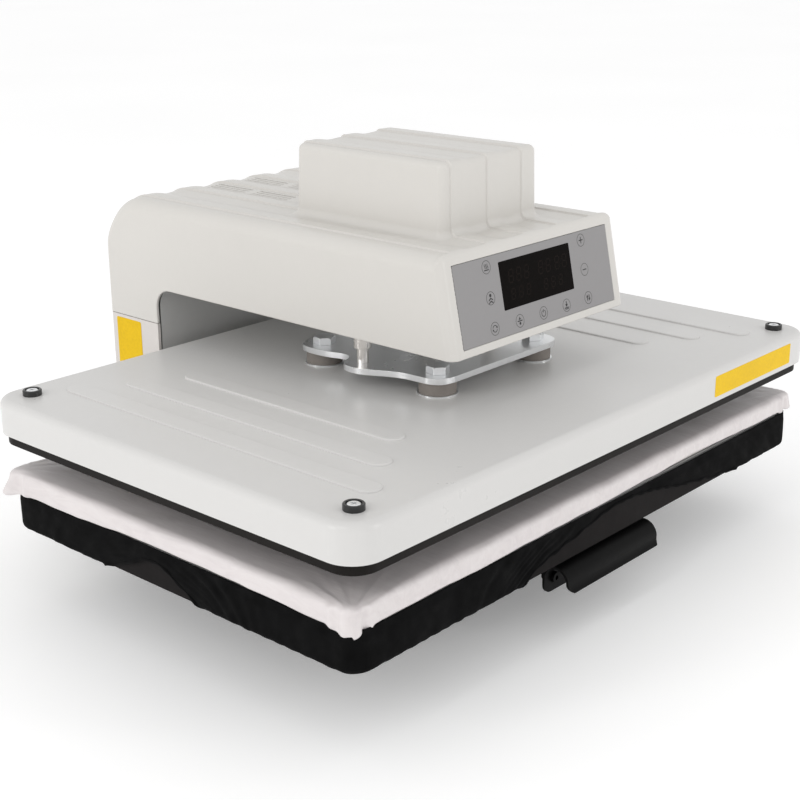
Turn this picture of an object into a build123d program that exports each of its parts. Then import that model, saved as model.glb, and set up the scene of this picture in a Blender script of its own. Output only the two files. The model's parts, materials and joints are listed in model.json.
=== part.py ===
from build123d import *
import math
import os

# Automatic heat press with a drawer-type lower platen. Millimetres, +Z up, front face towards -Y.
# Heights are above the table; y = 0 of the working frame is the middle of the heated platen.

# ---- driving dimensions -------------------------------------------------------------------
platen_w, platen_d = 620.0, 408.0      # upper platen cover, left-right and front-back
cover_z0, cover_h = 150.0, 29.0        # bottom edge and height of the upper platen cover
cover_r, cover_edge_r = 25.0, 6.0      # plan corner radius, top edge radius
cover_t = 1.5                          # sheet thickness
band_h, band_in = 9.0, 4.1             # black band below the cover: height, inset
stroke = 22.6                          # travel of the heated platen
arm_hw = 115.5                         # arm half width
arm_zb, arm_zt = 227.0, 306.5          # arm bottom edge and crest height
arm_yf, arm_lean = -123.0, 0.21        # front bottom edge, backward lean of the front face
arm_yr, col_yf = 295.0, 226.0          # rear face, column front face
throat_r, rear_r, head_r = 18.0, 45.0, 10.0
seam_z = 194.0                         # seam between arm cover and column cover
wall = 3.0                             # moulded wall
flute_pitch, flute_w, flute_d = 45.5, 34.0, 2.2
hump_hw, hump_yf, hump_yr, hump_zt = 61.5, -66.7, 97.5, 365.5
hump_r = 8.5
bolt_p = 64.0                          # half pitch of the carrier bolts
pin_x = 84.0                           # guide pins
plate_z, plate_t = 191.0, 5.0          # carrier plate underside, thickness
tray_w, tray_d, tray_z0, tray_zt, tray_r = 596.0, 382.0, 66.3, 94.0, 13.0
pad_w, pad_d, pad_z0, pad_zt = 606.0, 388.0, 99.5, 118.0
drawer_travel = 250.0
gear_m, z_pinion, z_nut = 1.5, 18, 36  # spur pair that turns the nut
gear_cd = gear_m * (z_pinion + z_nut) / 2
screw_r, nut_bore_r = 8.0, 8.05
y_shift = -48.675                       # moves the middle of the overall box to y = 0

os.makedirs("parts", exist_ok=True)


# ---- helpers ------------------------------------------------------------------------------
def bx(x0, x1, y0, y1, z0, z1):
    return Pos((x0 + x1) / 2, (y0 + y1) / 2, (z0 + z1) / 2) * Box(abs(x1 - x0), abs(y1 - y0), abs(z1 - z0))


def cz(x, y, z0, z1, r):
    return Pos(x, y, (z0 + z1) / 2) * Cylinder(r, abs(z1 - z0))


def cy(x, y0, y1, z, r):
    return Pos(x, (y0 + y1) / 2, z) * Rot(90, 0, 0) * Cylinder(r, abs(y1 - y0))


def cx(x0, x1, y, z, r):
    return Pos((x0 + x1) / 2, y, z) * Rot(0, 90, 0) * Cylinder(r, abs(x1 - x0))


def slab(w, d, r, z0, z1, x=0.0, y=0.0):
    return extrude(Pos(x, y, z0) * RectangleRounded(w, d, r), amount=z1 - z0)


def hexagon(x, y, af, z0, z1):
    return extrude(Pos(x, y, z0) * RegularPolygon(af / 2, 6, major_radius=False), amount=z1 - z0)


def cut(a, *bs):
    for b in bs:
        a = a - b
    return a


def one(s):
    found = s.solids()
    return found[0] if len(found) == 1 else Compound(children=list(found))


def write(name, *shapes):
    solids = []
    for s in shapes:
        solids += [Pos(0, y_shift, 0) * x for x in s.solids()]
    out = solids[0] if len(solids) == 1 else Compound(children=solids)
    export_step(out, "parts/%s.step" % name)


def yz_prism(points_face, x0, x1):
    return extrude(points_face, amount=x1 - x0)


def YZ(x):
    # sketch plane with local x = +Y and local y = +Z, normal +X
    return Plane(origin=(x, 0, 0), x_dir=(0, 1, 0), z_dir=(1, 0, 0))


quad = [(sx, sy) for sx in (-1, 1) for sy in (-1, 1)]

# ---- heated platen assembly ---------------------------------------------------------------
cover_zt = cover_z0 + cover_h
outer = slab(platen_w, platen_d, cover_r, cover_z0, cover_zt)
outer = fillet(outer.faces().sort_by(Axis.Z)[-1].edges(), cover_edge_r)
inner = slab(platen_w - 2 * cover_t, platen_d - 2 * cover_t, cover_r - cover_t, cover_z0 - 1, cover_zt - cover_t)
inner = fillet(inner.faces().sort_by(Axis.Z)[-1].edges(), cover_edge_r - cover_t)
cover = outer - inner
hem = slab(platen_w - 2, platen_d - 2, cover_r - 1, cover_z0, cover_z0 + 1.5) - slab(604, 392, 20, cover_z0 - 1, cover_z0 + 3)
cover = cover + hem
rib_rows = [(166.0, -116.0, 124.0), (210.0, -143.0, 146.0), (251.0, -171.0, 171.0)]
rib_w, rib_h = 20.0, 1.4
for rx, ry0, ry1 in rib_rows:
    for s in (-1, 1):
        rib = extrude(Pos(s * rx, (ry0 + ry1) / 2, cover_zt - 0.5) * Rot(0, 0, 90) * SlotOverall(ry1 - ry0, rib_w), amount=rib_h + 0.5)
        rib = fillet(rib.faces().sort_by(Axis.Z)[-1].edges(), 1.2)
        cover = cover + rib
corner = [(284.0 * sx, 179.0 * sy) for sx, sy in quad]
for x, y in corner:
    cover = cover - cz(x, y, cover_zt - 3, cover_zt + 3, 2.6)
for sx, sy in quad:
    cover = cover - cz(sx * bolt_p, sy * bolt_p, cover_zt - 3, cover_zt + 3, 5.5)
gland_xy = (66.0, 112.0)
cover = cover - cz(*gland_xy, cover_zt - 3, cover_zt + 3, 6.0)
write("upper_cover", cover)

band = slab(platen_w - 2 * band_in, platen_d - 2 * band_in, cover_r - band_in, cover_z0 - band_h, cover_z0)
band = band - slab(594, 382, 12, cover_z0 - band_h - 1, cover_z0 + 1)
write("edge_band", band)

hp_zt = 156.0
hp = slab(592, 380, 11, cover_z0 - band_h, hp_zt)
hp = chamfer(hp.faces().sort_by(Axis.Z)[0].edges(), 1.0)
for sx, sy in quad:
    hp = hp + cz(sx * bolt_p, sy * bolt_p, hp_zt - 1, cover_zt - cover_t, 13)
    hp = hp - cz(sx * bolt_p, sy * bolt_p, 168.0, 190, 5.0)
for x, y in corner:
    hp = hp + cz(x, y, hp_zt - 1, cover_zt - cover_t, 7)
    hp = hp - cz(x, y, 164.0, 190, 2.5)
hp = hp + bx(14, 30, -8, 8, hp_zt - 0.5, hp_zt + 9)
hp = hp - cy(22, -12, 12, hp_zt + 3.0, 3.0)
write("heating_platen", hp)

elements = []
for yc in (-122.5, 0.0, 122.5):
    half = 27.5 if abs(yc) > 1 else 35.0
    zc = hp_zt + 4.0
    x0, x1 = -262.0, 258.0 - half
    prof = Plane(origin=(x0, yc - half, zc), x_dir=(0, 1, 0), z_dir=(1, 0, 0)) * Circle(4.0)
    a = extrude(prof, amount=x1 - x0)
    prof2 = Plane(origin=(x1, yc - half, zc), x_dir=(0, 1, 0), z_dir=(1, 0, 0)) * Circle(4.0)
    bend = revolve(prof2, axis=Axis((x1, yc, zc), (0, 0, 1)), revolution_arc=180)
    prof3 = Plane(origin=(x0, yc + half, zc), x_dir=(0, 1, 0), z_dir=(1, 0, 0)) * Circle(4.0)
    c = extrude(prof3, amount=x1 - x0)
    el = a + bend + c
    for sgn in (-1, 1):
        el = el + cx(x0 - 14, x0, yc + sgn * half, zc, 2.0)
    elements.append(el)
write("heating_elements", *elements)

clamps = []
for x in (-150.0, 150.0):
    bar = bx(x - 10, x + 10, -166, 166, hp_zt + 8.0, hp_zt + 10.5)
    for y in (-64.0, 0.0, 64.0):
        bar = bar + bx(x - 7, x + 7, y - 7, y + 7, hp_zt, hp_zt + 8.5)
    clamps.append(bar)
write("element_clamps", *clamps)

blanket = slab(584, 372, 12, 166.8, 177.2)
for sx, sy in quad:
    blanket = blanket - cz(sx * bolt_p, sy * bolt_p, 160, 180, 14.5)
for x, y in corner:
    blanket = blanket - cz(x, y, 160, 180, 9)
blanket = blanket - cz(*gland_xy, 160, 180, 9.0)
write("insulation_blanket", blanket)

probe = cy(22, -20, 20, hp_zt + 3.0, 3.0) + cy(22, 20, 29, hp_zt + 3.0, 1.5)
write("temperature_probe", probe)

gland = cut(cz(*gland_xy, cover_zt, cover_zt + 3, 9.0) + cz(*gland_xy, cover_zt - 5, cover_zt, 5.9) + cz(*gland_xy, cover_zt + 3, cover_zt + 9, 7.0)
            + cz(*gland_xy, cover_zt - 5, cover_zt - cover_t, 8.0),
            cz(*gland_xy, 160, 200, 3.6))
write("cover_gland", gland)

cups, cscrews = [], []
for x, y in corner:
    w = cz(x, y, cover_zt, cover_zt + 4.6, 7.7)
    w = chamfer(w.faces().sort_by(Axis.Z)[-1].edges(), 0.6)
    w = cut(w, cz(x, y, cover_zt - 1, cover_zt + 6, 2.7), cz(x, y, cover_zt + 1.0, cover_zt + 6, 5.6))
    cups.append(w)
    head = cz(x, y, cover_zt + 1.0, cover_zt + 4.4, 5.3)
    head = fillet(head.faces().sort_by(Axis.Z)[-1].edges(), 1.7)
    head = cut(head, bx(x - 2.6, x + 2.6, y - 0.5, y + 0.5, cover_zt + 3.0, cover_zt + 6), bx(x - 0.5, x + 0.5, y - 2.6, y + 2.6, cover_zt + 3.0, cover_zt + 6))
    cscrews.append(head + cz(x, y, 165.0, cover_zt + 1.2, 2.5))
write("cup_washers", *cups)
write("corner_screws", *cscrews)

wz0, sz0 = cover_zt, cover_zt + 1.2
write("spacer_washers", *[cut(cz(sx * bolt_p, sy * bolt_p, wz0, sz0, 16.8), cz(sx * bolt_p, sy * bolt_p, wz0 - 1, sz0 + 1, 5.5)) for sx, sy in quad])
write("insulating_spacers", *[cut(cz(sx * bolt_p, sy * bolt_p, sz0, plate_z, 15.5), cz(sx * bolt_p, sy * bolt_p, sz0 - 1, plate_z + 1, 5.5)) for sx, sy in quad])

# carrier plate: lobes at the bolts, bulges round the guide pins, waisted between
pz1 = plate_z + plate_t
half_pts = [(-64, -82), (-76, -78.5), (-81.5, -70), (-82.5, -60), (-83.5, -46), (-87, -34), (-93, -22), (-98, -11),
            (-99.5, 0), (-97, 9), (-90.5, 14.5), (-82.5, 17.5), (-77.5, 22.5), (-77, 30), (-80, 40), (-82, 52), (-82, 66),
            (-78.5, 76), (-70, 81.5), (-60, 82.5)]


def eased(pts, before, after, n=4):
    """Points on a smooth run through pts, n to each span; before and after set the directions at its ends."""
    q, out = [before] + pts + [after], []
    for k in range(1, len(q) - 2):
        a, b, c, d = q[k - 1:k + 3]
        ln = math.dist(b, c)
        m0 = [(c[i] - a[i]) / math.dist(a, c) * ln for i in (0, 1)]
        m1 = [(d[i] - b[i]) / math.dist(b, d) * ln for i in (0, 1)]
        for j in range(n):
            u = j / n
            h = (2 * u ** 3 - 3 * u ** 2 + 1, u ** 3 - 2 * u ** 2 + u, 3 * u ** 2 - 2 * u ** 3, u ** 3 - u ** 2)
            out.append(tuple(h[0] * b[i] + h[1] * m0[i] + h[2] * c[i] + h[3] * m1[i] for i in (0, 1)))
    return out + [pts[-1]]


side_run = eased(half_pts, (-54, -82), (-50, 82.5))
left = Spline([Vector(x, y) for x, y in side_run])
right = Spline([Vector(-x, y) for x, y in side_run])
bottom = Line((-64, -82), (64, -82))
top_pts = [(-60, 82.5), (-46, 78), (-34, 70), (0, 62), (34, 70), (46, 78), (60, 82.5)]
top = Spline([Vector(x, y) for x, y in eased(top_pts, (-72, 82.5), (72, 82.5))])
outline = make_face(Wire([left, top, right, bottom]))
carrier = extrude(Pos(0, 0, plate_z) * outline, amount=plate_t)
if carrier.bounding_box().max.Z < pz1 - 0.01:
    carrier = extrude(Pos(0, 0, plate_z) * outline, amount=-plate_t)
carrier = cut(carrier, *[cz(sx * bolt_p, sy * bolt_p, plate_z - 1, pz1 + 1, 5.5) for sx, sy in quad])
carrier = cut(carrier, cz(0, 0, plate_z - 1, pz1 + 1, 5.0), cz(-pin_x, 0, plate_z - 1, pz1 + 1, 3.0), cz(pin_x, 0, plate_z - 1, pz1 + 1, 3.0))
write("carrier_plate", carrier)

bolts = []
for sx, sy in quad:
    x, y = sx * bolt_p, sy * bolt_p
    head = Pos(x, y, 0) * Rot(0, 0, 20) * hexagon(0, 0, 17.0, pz1, pz1 + 6.4)
    dome = Pos(x, y, pz1 + 2.2) * Cone(14.2, 8.6, 9.0)
    head = head & dome
    bolts.append(head + cz(x, y, 168.2, pz1 + 0.5, 5.0))
write("hex_bolts", *bolts)

pins = []
for s in (-1, 1):
    p = cz(s * pin_x, 0, pz1, 278.0, 5.0)
    p = chamfer(p.faces().sort_by(Axis.Z)[-1].edges(), 1.0)
    pins.append(p + cz(s * pin_x, 0, plate_z - 3.2, pz1 + 0.5, 3.0))
write("guide_pins", *pins)

screw = cz(0, 0, pz1, 320.0, screw_r)
screw = chamfer(screw.faces().sort_by(Axis.Z)[-1].edges(), 1.2)
screw = screw + cz(0, 0, 182.4, pz1 + 0.5, 5.0) + cz(0, 0, pz1, pz1 + 5, 14.0)
write("lift_screw", screw)
write("screw_nut", cut(hexagon(0, 0, 17.0, 183.2, plate_z), cz(0, 0, 180, 195, 5.0)))

front_label = bx(136.5, 270.3, -platen_d / 2 - 0.25, -platen_d / 2, cover_z0 + 4.3, cover_z0 + 22.9)
front_label = fillet(front_label.edges().filter_by(Axis.Y), 1.5)
write("front_label", front_label)


# ---- lift drive ---------------------------------------------------------------------------
def gear_face(z, m, phase=0.0, backlash=0.12):
    # involute flanks, 20 degree pressure angle, thinned by the backlash
    rp, pa = m * z / 2, math.radians(20)
    rb, ra, rf = rp * math.cos(pa), rp + 0.95 * m, rp - 1.25 * m
    inv = lambda a: math.tan(a) - a
    half = math.pi / (2 * z) - backlash / (2 * rp)
    pts = []
    for k in range(z):
        c = phase + 2 * math.pi * k / z
        left, right = [], []
        r0 = max(rb, rf + 0.05)
        for i in range(7):
            r = r0 + (ra - r0) * i / 6
            a = math.acos(min(1.0, rb / r))
            w = half + inv(pa) - inv(a)
            left.append((r, c - w))
            right.append((r, c + w))
        pts.append((rf, left[0][1] - 0.004))
        pts += left + right[::-1]
        pts.append((rf, right[0][1] + 0.004))
    xy = [(r * math.cos(t), r * math.sin(t)) for r, t in pts]
    return make_face(Polyline(*xy, close=True))


gz0, gz1 = 271.2, 283.2
lp0, lp1, up0, up1 = 262.0, 268.0, 286.0, 291.0   # lower and upper gear plates
# a gap of the nut gear faces +Y, a tooth of the pinion faces -Y
nut = extrude(Pos(0, 0, gz0) * gear_face(z_nut, gear_m, math.pi / 2 + math.pi / z_nut), amount=gz1 - gz0)
if nut.bounding_box().max.Z < gz1 - 0.01:
    nut = Pos(0, 0, gz1 - gz0) * nut
nut = nut + cz(0, 0, lp0 + 0.5, up1 - 0.5, 13.0) + cz(0, 0, lp1 + 2.05, up0 - 1.55, 18.0)
nut = nut - cz(0, 0, 250, 300, nut_bore_r)
write("nut_gear", nut)

pinion = extrude(Pos(0, gear_cd, gz0) * gear_face(z_pinion, gear_m, -math.pi / 2), amount=gz1 - gz0)
if pinion.bounding_box().max.Z < gz1 - 0.01:
    pinion = Pos(0, 0, gz1 - gz0) * pinion
pinion = pinion + cz(0, gear_cd, gz1 - 0.5, 309.0, 4.0)
write("motor_pinion", pinion)

bear_lo = cut(cz(0, 0, lp0, lp1, 17.0) + cz(0, 0, lp1, lp1 + 2.0, 19.0), cz(0, 0, lp0 - 1, lp1 + 3, 13.05))
bear_up = cut(cz(0, 0, up0, up1, 17.0) + cz(0, 0, up0 - 1.5, up0, 19.0), cz(0, 0, up0 - 3, up1 + 1, 13.05))
write("nut_bearings", bear_lo, bear_up)

posts_xy = [(-42, -37), (42, -37), (-42, 67), (42, 67)]
low = slab(100, 120, 8, lp0, lp1, 0, 15)
low = cut(low, cz(0, 0, lp0 - 1, lp1 + 1, 17.0))
upp = slab(100, 120, 8, up0, up1, 0, 15)
upp = cut(upp, cz(0, 0, up0 - 1, up1 + 1, 17.0), cz(0, gear_cd, up0 - 1, up1 + 1, 7.0))
write("gear_plate_lower", low)
write("gear_plate_upper", upp)
write("gear_plate_pillars", *[cz(x, y, 236.0, lp0, 6.0) for x, y in posts_xy], *[cz(x, y, lp1, up0, 6.0) for x, y in posts_xy])

gm = cz(0, gear_cd, up1, 315.0, 21.0) + cz(0, gear_cd, 315.0, 355.0, 19.0) + cz(0, gear_cd, 355.0, 357.5, 8.0)
gm = cut(gm, cz(0, gear_cd, up1 - 1, 309.6, 4.05))
gm = gm + bx(-9, 9, gear_cd + 14, gear_cd + 24, 335.0, 347.0)
write("gear_motor", gm)

sw = []
for z0 in (258.0, 279.0):
    s = bx(-99.9, -90.5, -14, 14, z0, z0 + 14)
    s = cut(s, cx(-101, -89, -9, z0 + 4, 1.5), cx(-101, -89, 9, z0 + 4, 1.5))
    sw.append(s)
write("limit_switches", *sw)

bushes = []
for s in (-1, 1):
    b = cz(s * pin_x, 0, 209.0, 244.0, 7.5) + cz(s * pin_x, 0, 236.0, 240.0, 13.0)
    bushes.append(cut(b, cz(s * pin_x, 0, 200, 250, 5.05)))
write("guide_bushes", *bushes)

# ---- frames -------------------------------------------------------------------------------
arm = bx(-104, 104, -95, 236.8, 230.0, 236.0) + bx(-104, -100, -95, 274, 230.0, 284.0) + bx(100, 104, -95, 274, 230.0, 284.0)
arm = arm + bx(-100, 100, -95, -91, 236.0, 262.0)
arm = cut(arm, cz(0, 0, 225, 240, 16.0), cz(-pin_x, 0, 225, 240, 7.5), cz(pin_x, 0, 225, 240, 7.5), cz(gland_xy[0], gland_xy[1], 225, 240, 9.0))
bolt_yz = [(248.0, 245.0), (264.0, 270.0)]
for y, z in bolt_yz:
    arm = cut(arm, cx(-110, -95, y, z, 4.0), cx(95, 110, y, z, 4.0))
write("arm_frame", arm)

col = bx(-100, 100, 237, 241, 15, 282) + bx(-100, -96, 237, 280, 15, 282) + bx(96, 100, 237, 280, 15, 282) + bx(-96, 96, 241, 280, 15, 19)
for y, z in bolt_yz:
    col = cut(col, cx(-110, -90, y, z, 4.0), cx(90, 110, y, z, 4.0))
cs_xz = [(-98.0, 40.0), (98.0, 40.0), (-98.0, 184.0), (98.0, 184.0)]
for x, z in cs_xz:
    col = cut(col, cy(x, 266, 300, z, 1.5))
write("column_frame", col)

fb = []
for y, z in bolt_yz:
    for s in (-1, 1):
        h = cx(s * 104, s * 108, y, z, 6.5) + cx(s * 94, s * 104.5, y, z, 4.0)
        h = cut(h, Pos(s * 107, y, z) * Rot(0, 90, 0) * extrude(RegularPolygon(2.5, 6, major_radius=False), amount=1.5, both=True))
        fb.append(h)
write("frame_bolts", *fb)

base = bx(-181.5, 181.5, -105, 298, 12, 15) + bx(-181.5, -178.5, -105, 298, 15, 60) + bx(178.5, 181.5, -105, 298, 15, 60)
base = base + bx(-178.5, -114.5, 295, 298, 15, 60) + bx(114.5, 178.5, 295, 298, 15, 60)
base = base + bx(-130, 130, -105, -102, 15, 34)
base = base + bx(-181.5, -116.5, 226, 298, 57, 60) + bx(116.5, 181.5, 226, 298, 57, 60)
foot_xy = [(-150, -80), (150, -80), (-150, 270), (150, 270)]
for x, y in foot_xy:
    base = base - cz(x, y, 10, 16, 3.0)
write("base_frame", base)
feet = []
for x, y in foot_xy:
    f = cz(x, y, 0, 12, 15.0)
    f = chamfer(f.faces().sort_by(Axis.Z)[0].edges(), 1.5)
    feet.append(f + cz(x, y, 11.5, 18.0, 3.0))
write("rubber_feet", *feet)

# underside pan: covers the arm from below and the column from the front
with BuildSketch(YZ(-110.2)) as sk:
    with BuildLine() as ln:
        l1 = Line((-119.0, 228.0), (208.0, 228.0))
        a1 = CenterArc((208.0, 209.0), 19.0, 90, -90)
        l2 = Line(a1 @ 1, (227.0, 15.0))
        l3 = Line(l2 @ 1, (228.2, 15.0))
        l4 = Line(l3 @ 1, (228.2, 209.0))
        a2 = CenterArc((208.0, 209.0), 20.2, 0, 90)
        l5 = Line(a2 @ 1, (-118.7, 229.2))
        l6 = Line(l5 @ 1, l1 @ 0)
    make_face()
pan = extrude(sk.sketch, amount=220.4)
pan_keep = bx(-110.2, 110.2, 150, 240, 10, 231)
pan = cut(pan, cz(0, 0, 220, 235, 16.0), cz(-pin_x, 0, 220, 235, 8.2), cz(pin_x, 0, 220, 235, 8.2), cz(gland_xy[0], gland_xy[1], 220, 235, 6.0))
ag = cut(cz(*gland_xy, 222.0, 228.0, 8.5) + cz(*gland_xy, 227.5, 233.0, 5.9) + cz(*gland_xy, 229.2, 233.0, 8.0), cz(*gland_xy, 218, 240, 3.6))
write("arm_gland", ag)


# ---- covers -------------------------------------------------------------------------------
def front_y(z):
    return arm_yf + arm_lean * (z - arm_zb)


def arm_profile(x, off, full):
    # side outline of the arm (off = inward offset); full fills the throat and drops to the bottom
    zt, yr = arm_zt - off * (1.6 if off else 1), arm_yr - off
    fo = off * math.hypot(1, arm_lean)
    hr, rr_ = max(head_r - off, 2.0), rear_r - off
    zb = arm_zb if not full else 100.0
    yf_b, yf_t = front_y(zb) + fo, front_y(zt) + fo
    with BuildSketch(YZ(x)) as s:
        if full:
            pts = [(yf_b, zb), (yf_t, zt), (yr, zt), (yr, zb)]
        else:
            pts = [(yf_b, zb), (yf_t, zt), (yr, zt), (yr, seam_z + 0.2), (col_yf, seam_z + 0.2), (col_yf, zb)]
        with BuildLine():
            Polyline(*pts, close=True)
        make_face()
        vs = s.vertices()
        near = lambda y, z: min(vs, key=lambda v: (v.Y - y) ** 2 + (v.Z - z) ** 2 if abs(v.X) > 1e-6 or True else 0)
    f = s.sketch.faces()[0]

    def pick(face, y, z):
        return min(face.vertices(), key=lambda v: (v.Y - y) ** 2 + (v.Z - z) ** 2)
    f = fillet(pick(f, yf_t, zt), hr)
    f = f.faces()[0] if hasattr(f, "faces") else f
    f = fillet(pick(f, yr, zt), rr_)
    f = f.faces()[0]
    if not full:
        f = fillet(pick(f, col_yf, zb), throat_r)
        f = f.faces()[0]
    return f


def arm_body(off, full):
    hw = arm_hw - off
    body = extrude(arm_profile(-hw, off, full), amount=2 * hw)
    if body.bounding_box().max.X < hw - 0.01:
        body = extrude(arm_profile(-hw, off, full), amount=-2 * hw)
    er = 9.0 - off * 0.8
    zb = arm_zb if not full else 100.0

    def keep(e):
        c = e.center()
        bb = e.bounding_box()
        on_side = abs(abs(bb.min.X) - hw) < 1e-3 and abs(abs(bb.max.X) - hw) < 1e-3
        if not on_side:
            return False
        if bb.min.Z < zb + 0.5 and bb.max.Z < zb + 0.5:
            return False
        if not full and c.Y < col_yf + 0.5 and c.Z < arm_zb + 0.5 and bb.max.Z < arm_zb + 0.5:
            return False
        if not full and bb.max.Z < seam_z + 1:
            return False
        return True
    es = [e for e in body.edges() if keep(e)]
    rear_es = [e for e in es if e.bounding_box().min.Y > arm_yr - off - 0.01]
    rest = [e for e in es if e not in rear_es]
    return fillet(rest + rear_es, er)


outer_arm = arm_body(0.0, False)
inner_arm = arm_body(wall, True)
pan = (pan & arm_body(wall + 0.3, True)) + (pan & pan_keep)
write("underside_pan", pan)

hump = bx(-hump_hw, hump_hw, hump_yf, hump_yr, arm_zt - 12, hump_zt)
hump = fillet(hump.edges().filter_by(Axis.Z), 9.0)
hump = fillet(hump.faces().sort_by(Axis.Z)[-1].edges(), hump_r)
hump_in = bx(-hump_hw + wall, hump_hw - wall, hump_yf + wall + 1.5, hump_yr - wall - 1.5, arm_zt - 20, hump_zt - wall - 1.5)
hump_in = fillet(hump_in.edges().filter_by(Axis.Z), 7.0)
hump_in = fillet(hump_in.faces().sort_by(Axis.Z)[-1].edges(), 5.0)

flute_rad = ((flute_w / 2) ** 2 + flute_d ** 2) / (2 * flute_d)


def flute_face(x, plane_at):
    # segment of a circle, chord on the surface
    return plane_at * (Pos(0, flute_rad - flute_d) * Circle(flute_rad) & Pos(0, -flute_d) * Rectangle(flute_w, 2 * flute_d))


def flute_top(x, y0, y1, z, ends=True):
    tool = cy(x, y0, y1, z + flute_rad - flute_d, flute_rad) & bx(x - flute_w / 2, x + flute_w / 2, y0, y1, z - flute_d - 0.1, z + 1.0)
    return tool


valleys = [-68.25, -22.75, 22.75, 68.25]
flutes = []
rc_y, rc_z = arm_yr - rear_r, arm_zt - rear_r
for x in valleys:
    flutes.append(flute_top(x, -104.0, rc_y, arm_zt))
    # over the rear rounding: the same section turned about the rounding's axis
    sec = Plane(origin=(x, rc_y, arm_zt), x_dir=(1, 0, 0), z_dir=(0, -1, 0)) * (
        Pos(0, flute_rad - flute_d) * Circle(flute_rad) & Pos(0, -flute_d / 2 + 0.5) * Rectangle(flute_w, flute_d + 1.0))
    flutes.append(revolve(sec, axis=Axis((x, rc_y, rc_z), (-1, 0, 0)), revolution_arc=80))

shell = outer_arm
for f in flutes:
    shell = shell - f
shell = shell + hump
base_edges = []
try:
    cand = [e for e in shell.edges() if abs(e.center().Z - arm_zt) < 3.0 and -hump_hw - 1 < e.center().X < hump_hw + 1
            and hump_yf - 1 < e.center().Y < hump_yr + 1 and e.geom_type != GeomType.CIRCLE]
    print("hump base edges", len(cand))
except Exception as err:
    print("no base edges", err)
for x in (-22.75, 22.75):
    shell = shell - flute_top(x, hump_yf + hump_r, hump_yr - hump_r, hump_zt)
    for yy, sg in ((hump_yf, -1), (hump_yr, 1)):
        # face flutes, vertical
        c = cz(x, yy + sg * (flute_rad - flute_d), arm_zt + 7, hump_zt - hump_r, flute_rad)
        shell = shell - (c & bx(x - flute_w / 2, x + flute_w / 2, yy - 3, yy + 3, arm_zt + 7, hump_zt - hump_r))
        ya = yy - sg * hump_r
        sec = Plane(origin=(x, ya, hump_zt), x_dir=(1, 0, 0), z_dir=(0, -1, 0)) * (
            Pos(0, flute_rad - flute_d) * Circle(flute_rad) & Pos(0, -flute_d / 2 + 0.5) * Rectangle(flute_w, flute_d + 1.0))
        shell = shell - revolve(sec, axis=Axis((x, ya, hump_zt - hump_r), (-sg, 0, 0)), revolution_arc=90)
shell = shell - inner_arm - hump_in

# vent slots between the crests, behind the hump
for x in (-22.75, 22.75):
    for yc in (166.0, 222.0):
        for i in range(5):
            xs = x - 9.6 + 4.8 * i
            slot = extrude(Pos(xs, yc, arm_zt - 12) * Rot(0, 0, 90) * SlotOverall(38, 2.0), amount=20)
            shell = shell - slot

# recess and window for the touch panel
a_ = math.atan(arm_lean)
pn = (0, -math.cos(a_), math.sin(a_))
pz_mid = 265.25
panel_w, panel_h = 203.0, 64.9


def panel_plane(depth):
    y0 = front_y(pz_mid)
    return Plane(origin=(0, y0 - pn[1] * depth, pz_mid - pn[2] * depth), x_dir=(1, 0, 0), z_dir=pn)


def panel_slab(w, h, r, d0, d1, dx=0.0, dy=0.0):
    s = panel_plane(d1) * (Pos(dx, dy) * RectangleRounded(w, h, r))
    return extrude(s, amount=d1 - d0)


shell = shell - panel_slab(panel_w, panel_h, 1.6, -1.0, 1.0)
disp_w, disp_h, disp_dy = 93.6, 38.4, 6.6
shell = shell - panel_slab(88, 34, 2, 0.5, 6.0, 0, disp_dy)
for sx, sy in quad:
    shell = shell + panel_slab(7, 7, 3.4, 2.5, 9.0, sx * 92, sy * 22)
write("arm_cover", shell)

panel = panel_slab(panel_w - 0.3, panel_h - 0.3, 1.5, 0.0, 1.0) - panel_slab(disp_w, disp_h, 1.2, -0.5, 1.5, 0, disp_dy)
write("touch_panel", panel)
write("display_window", panel_slab(disp_w - 0.1, disp_h - 0.1, 1.2, 0.0, 1.0, 0, disp_dy))
board = panel_slab(196, 56, 3, 9.0, 10.6) + panel_slab(86, 32, 1.5, 1.2, 9.2, 0, disp_dy)
for sx, sy in quad:
    board = board - panel_slab(3.2, 3.2, 1.5, 8.5, 11, sx * 92, sy * 22)
write("control_board", board)

cc = bx(-arm_hw, arm_hw, col_yf, arm_yr, 15, seam_z - 0.2)
cc = fillet([e for e in cc.edges().filter_by(Axis.Z) if e.center().Y > col_yf + 5], 4.5)
cci = bx(-arm_hw + wall, arm_hw - wall, col_yf - 5, arm_yr - wall, 10, seam_z + 5)
cci = fillet([e for e in cci.edges().filter_by(Axis.Z) if e.center().Y > col_yf + 5], 2.0)
cc = cc - cci
cc = cc - bx(-80, 80, 285, 300, 70, 170)
for x, z in cs_xz:
    cc = cut(cc, cy(x, 285, 300, z, 2.0))
write("column_cover", cc)
css = []
for x, z in cs_xz:
    s = cy(x, arm_yr, arm_yr + 2.0, z, 3.6) + cy(x, 270.0, arm_yr + 0.2, z, 1.5)
    css.append(s)
write("cover_screws", *css)

side_label = bx(-arm_hw - 0.25, -arm_hw, 250.4, 285.6, 139.0, 191.0)
side_label = fillet(side_label.edges().filter_by(Axis.X), 2.0)
write("side_label", side_label)

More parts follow.
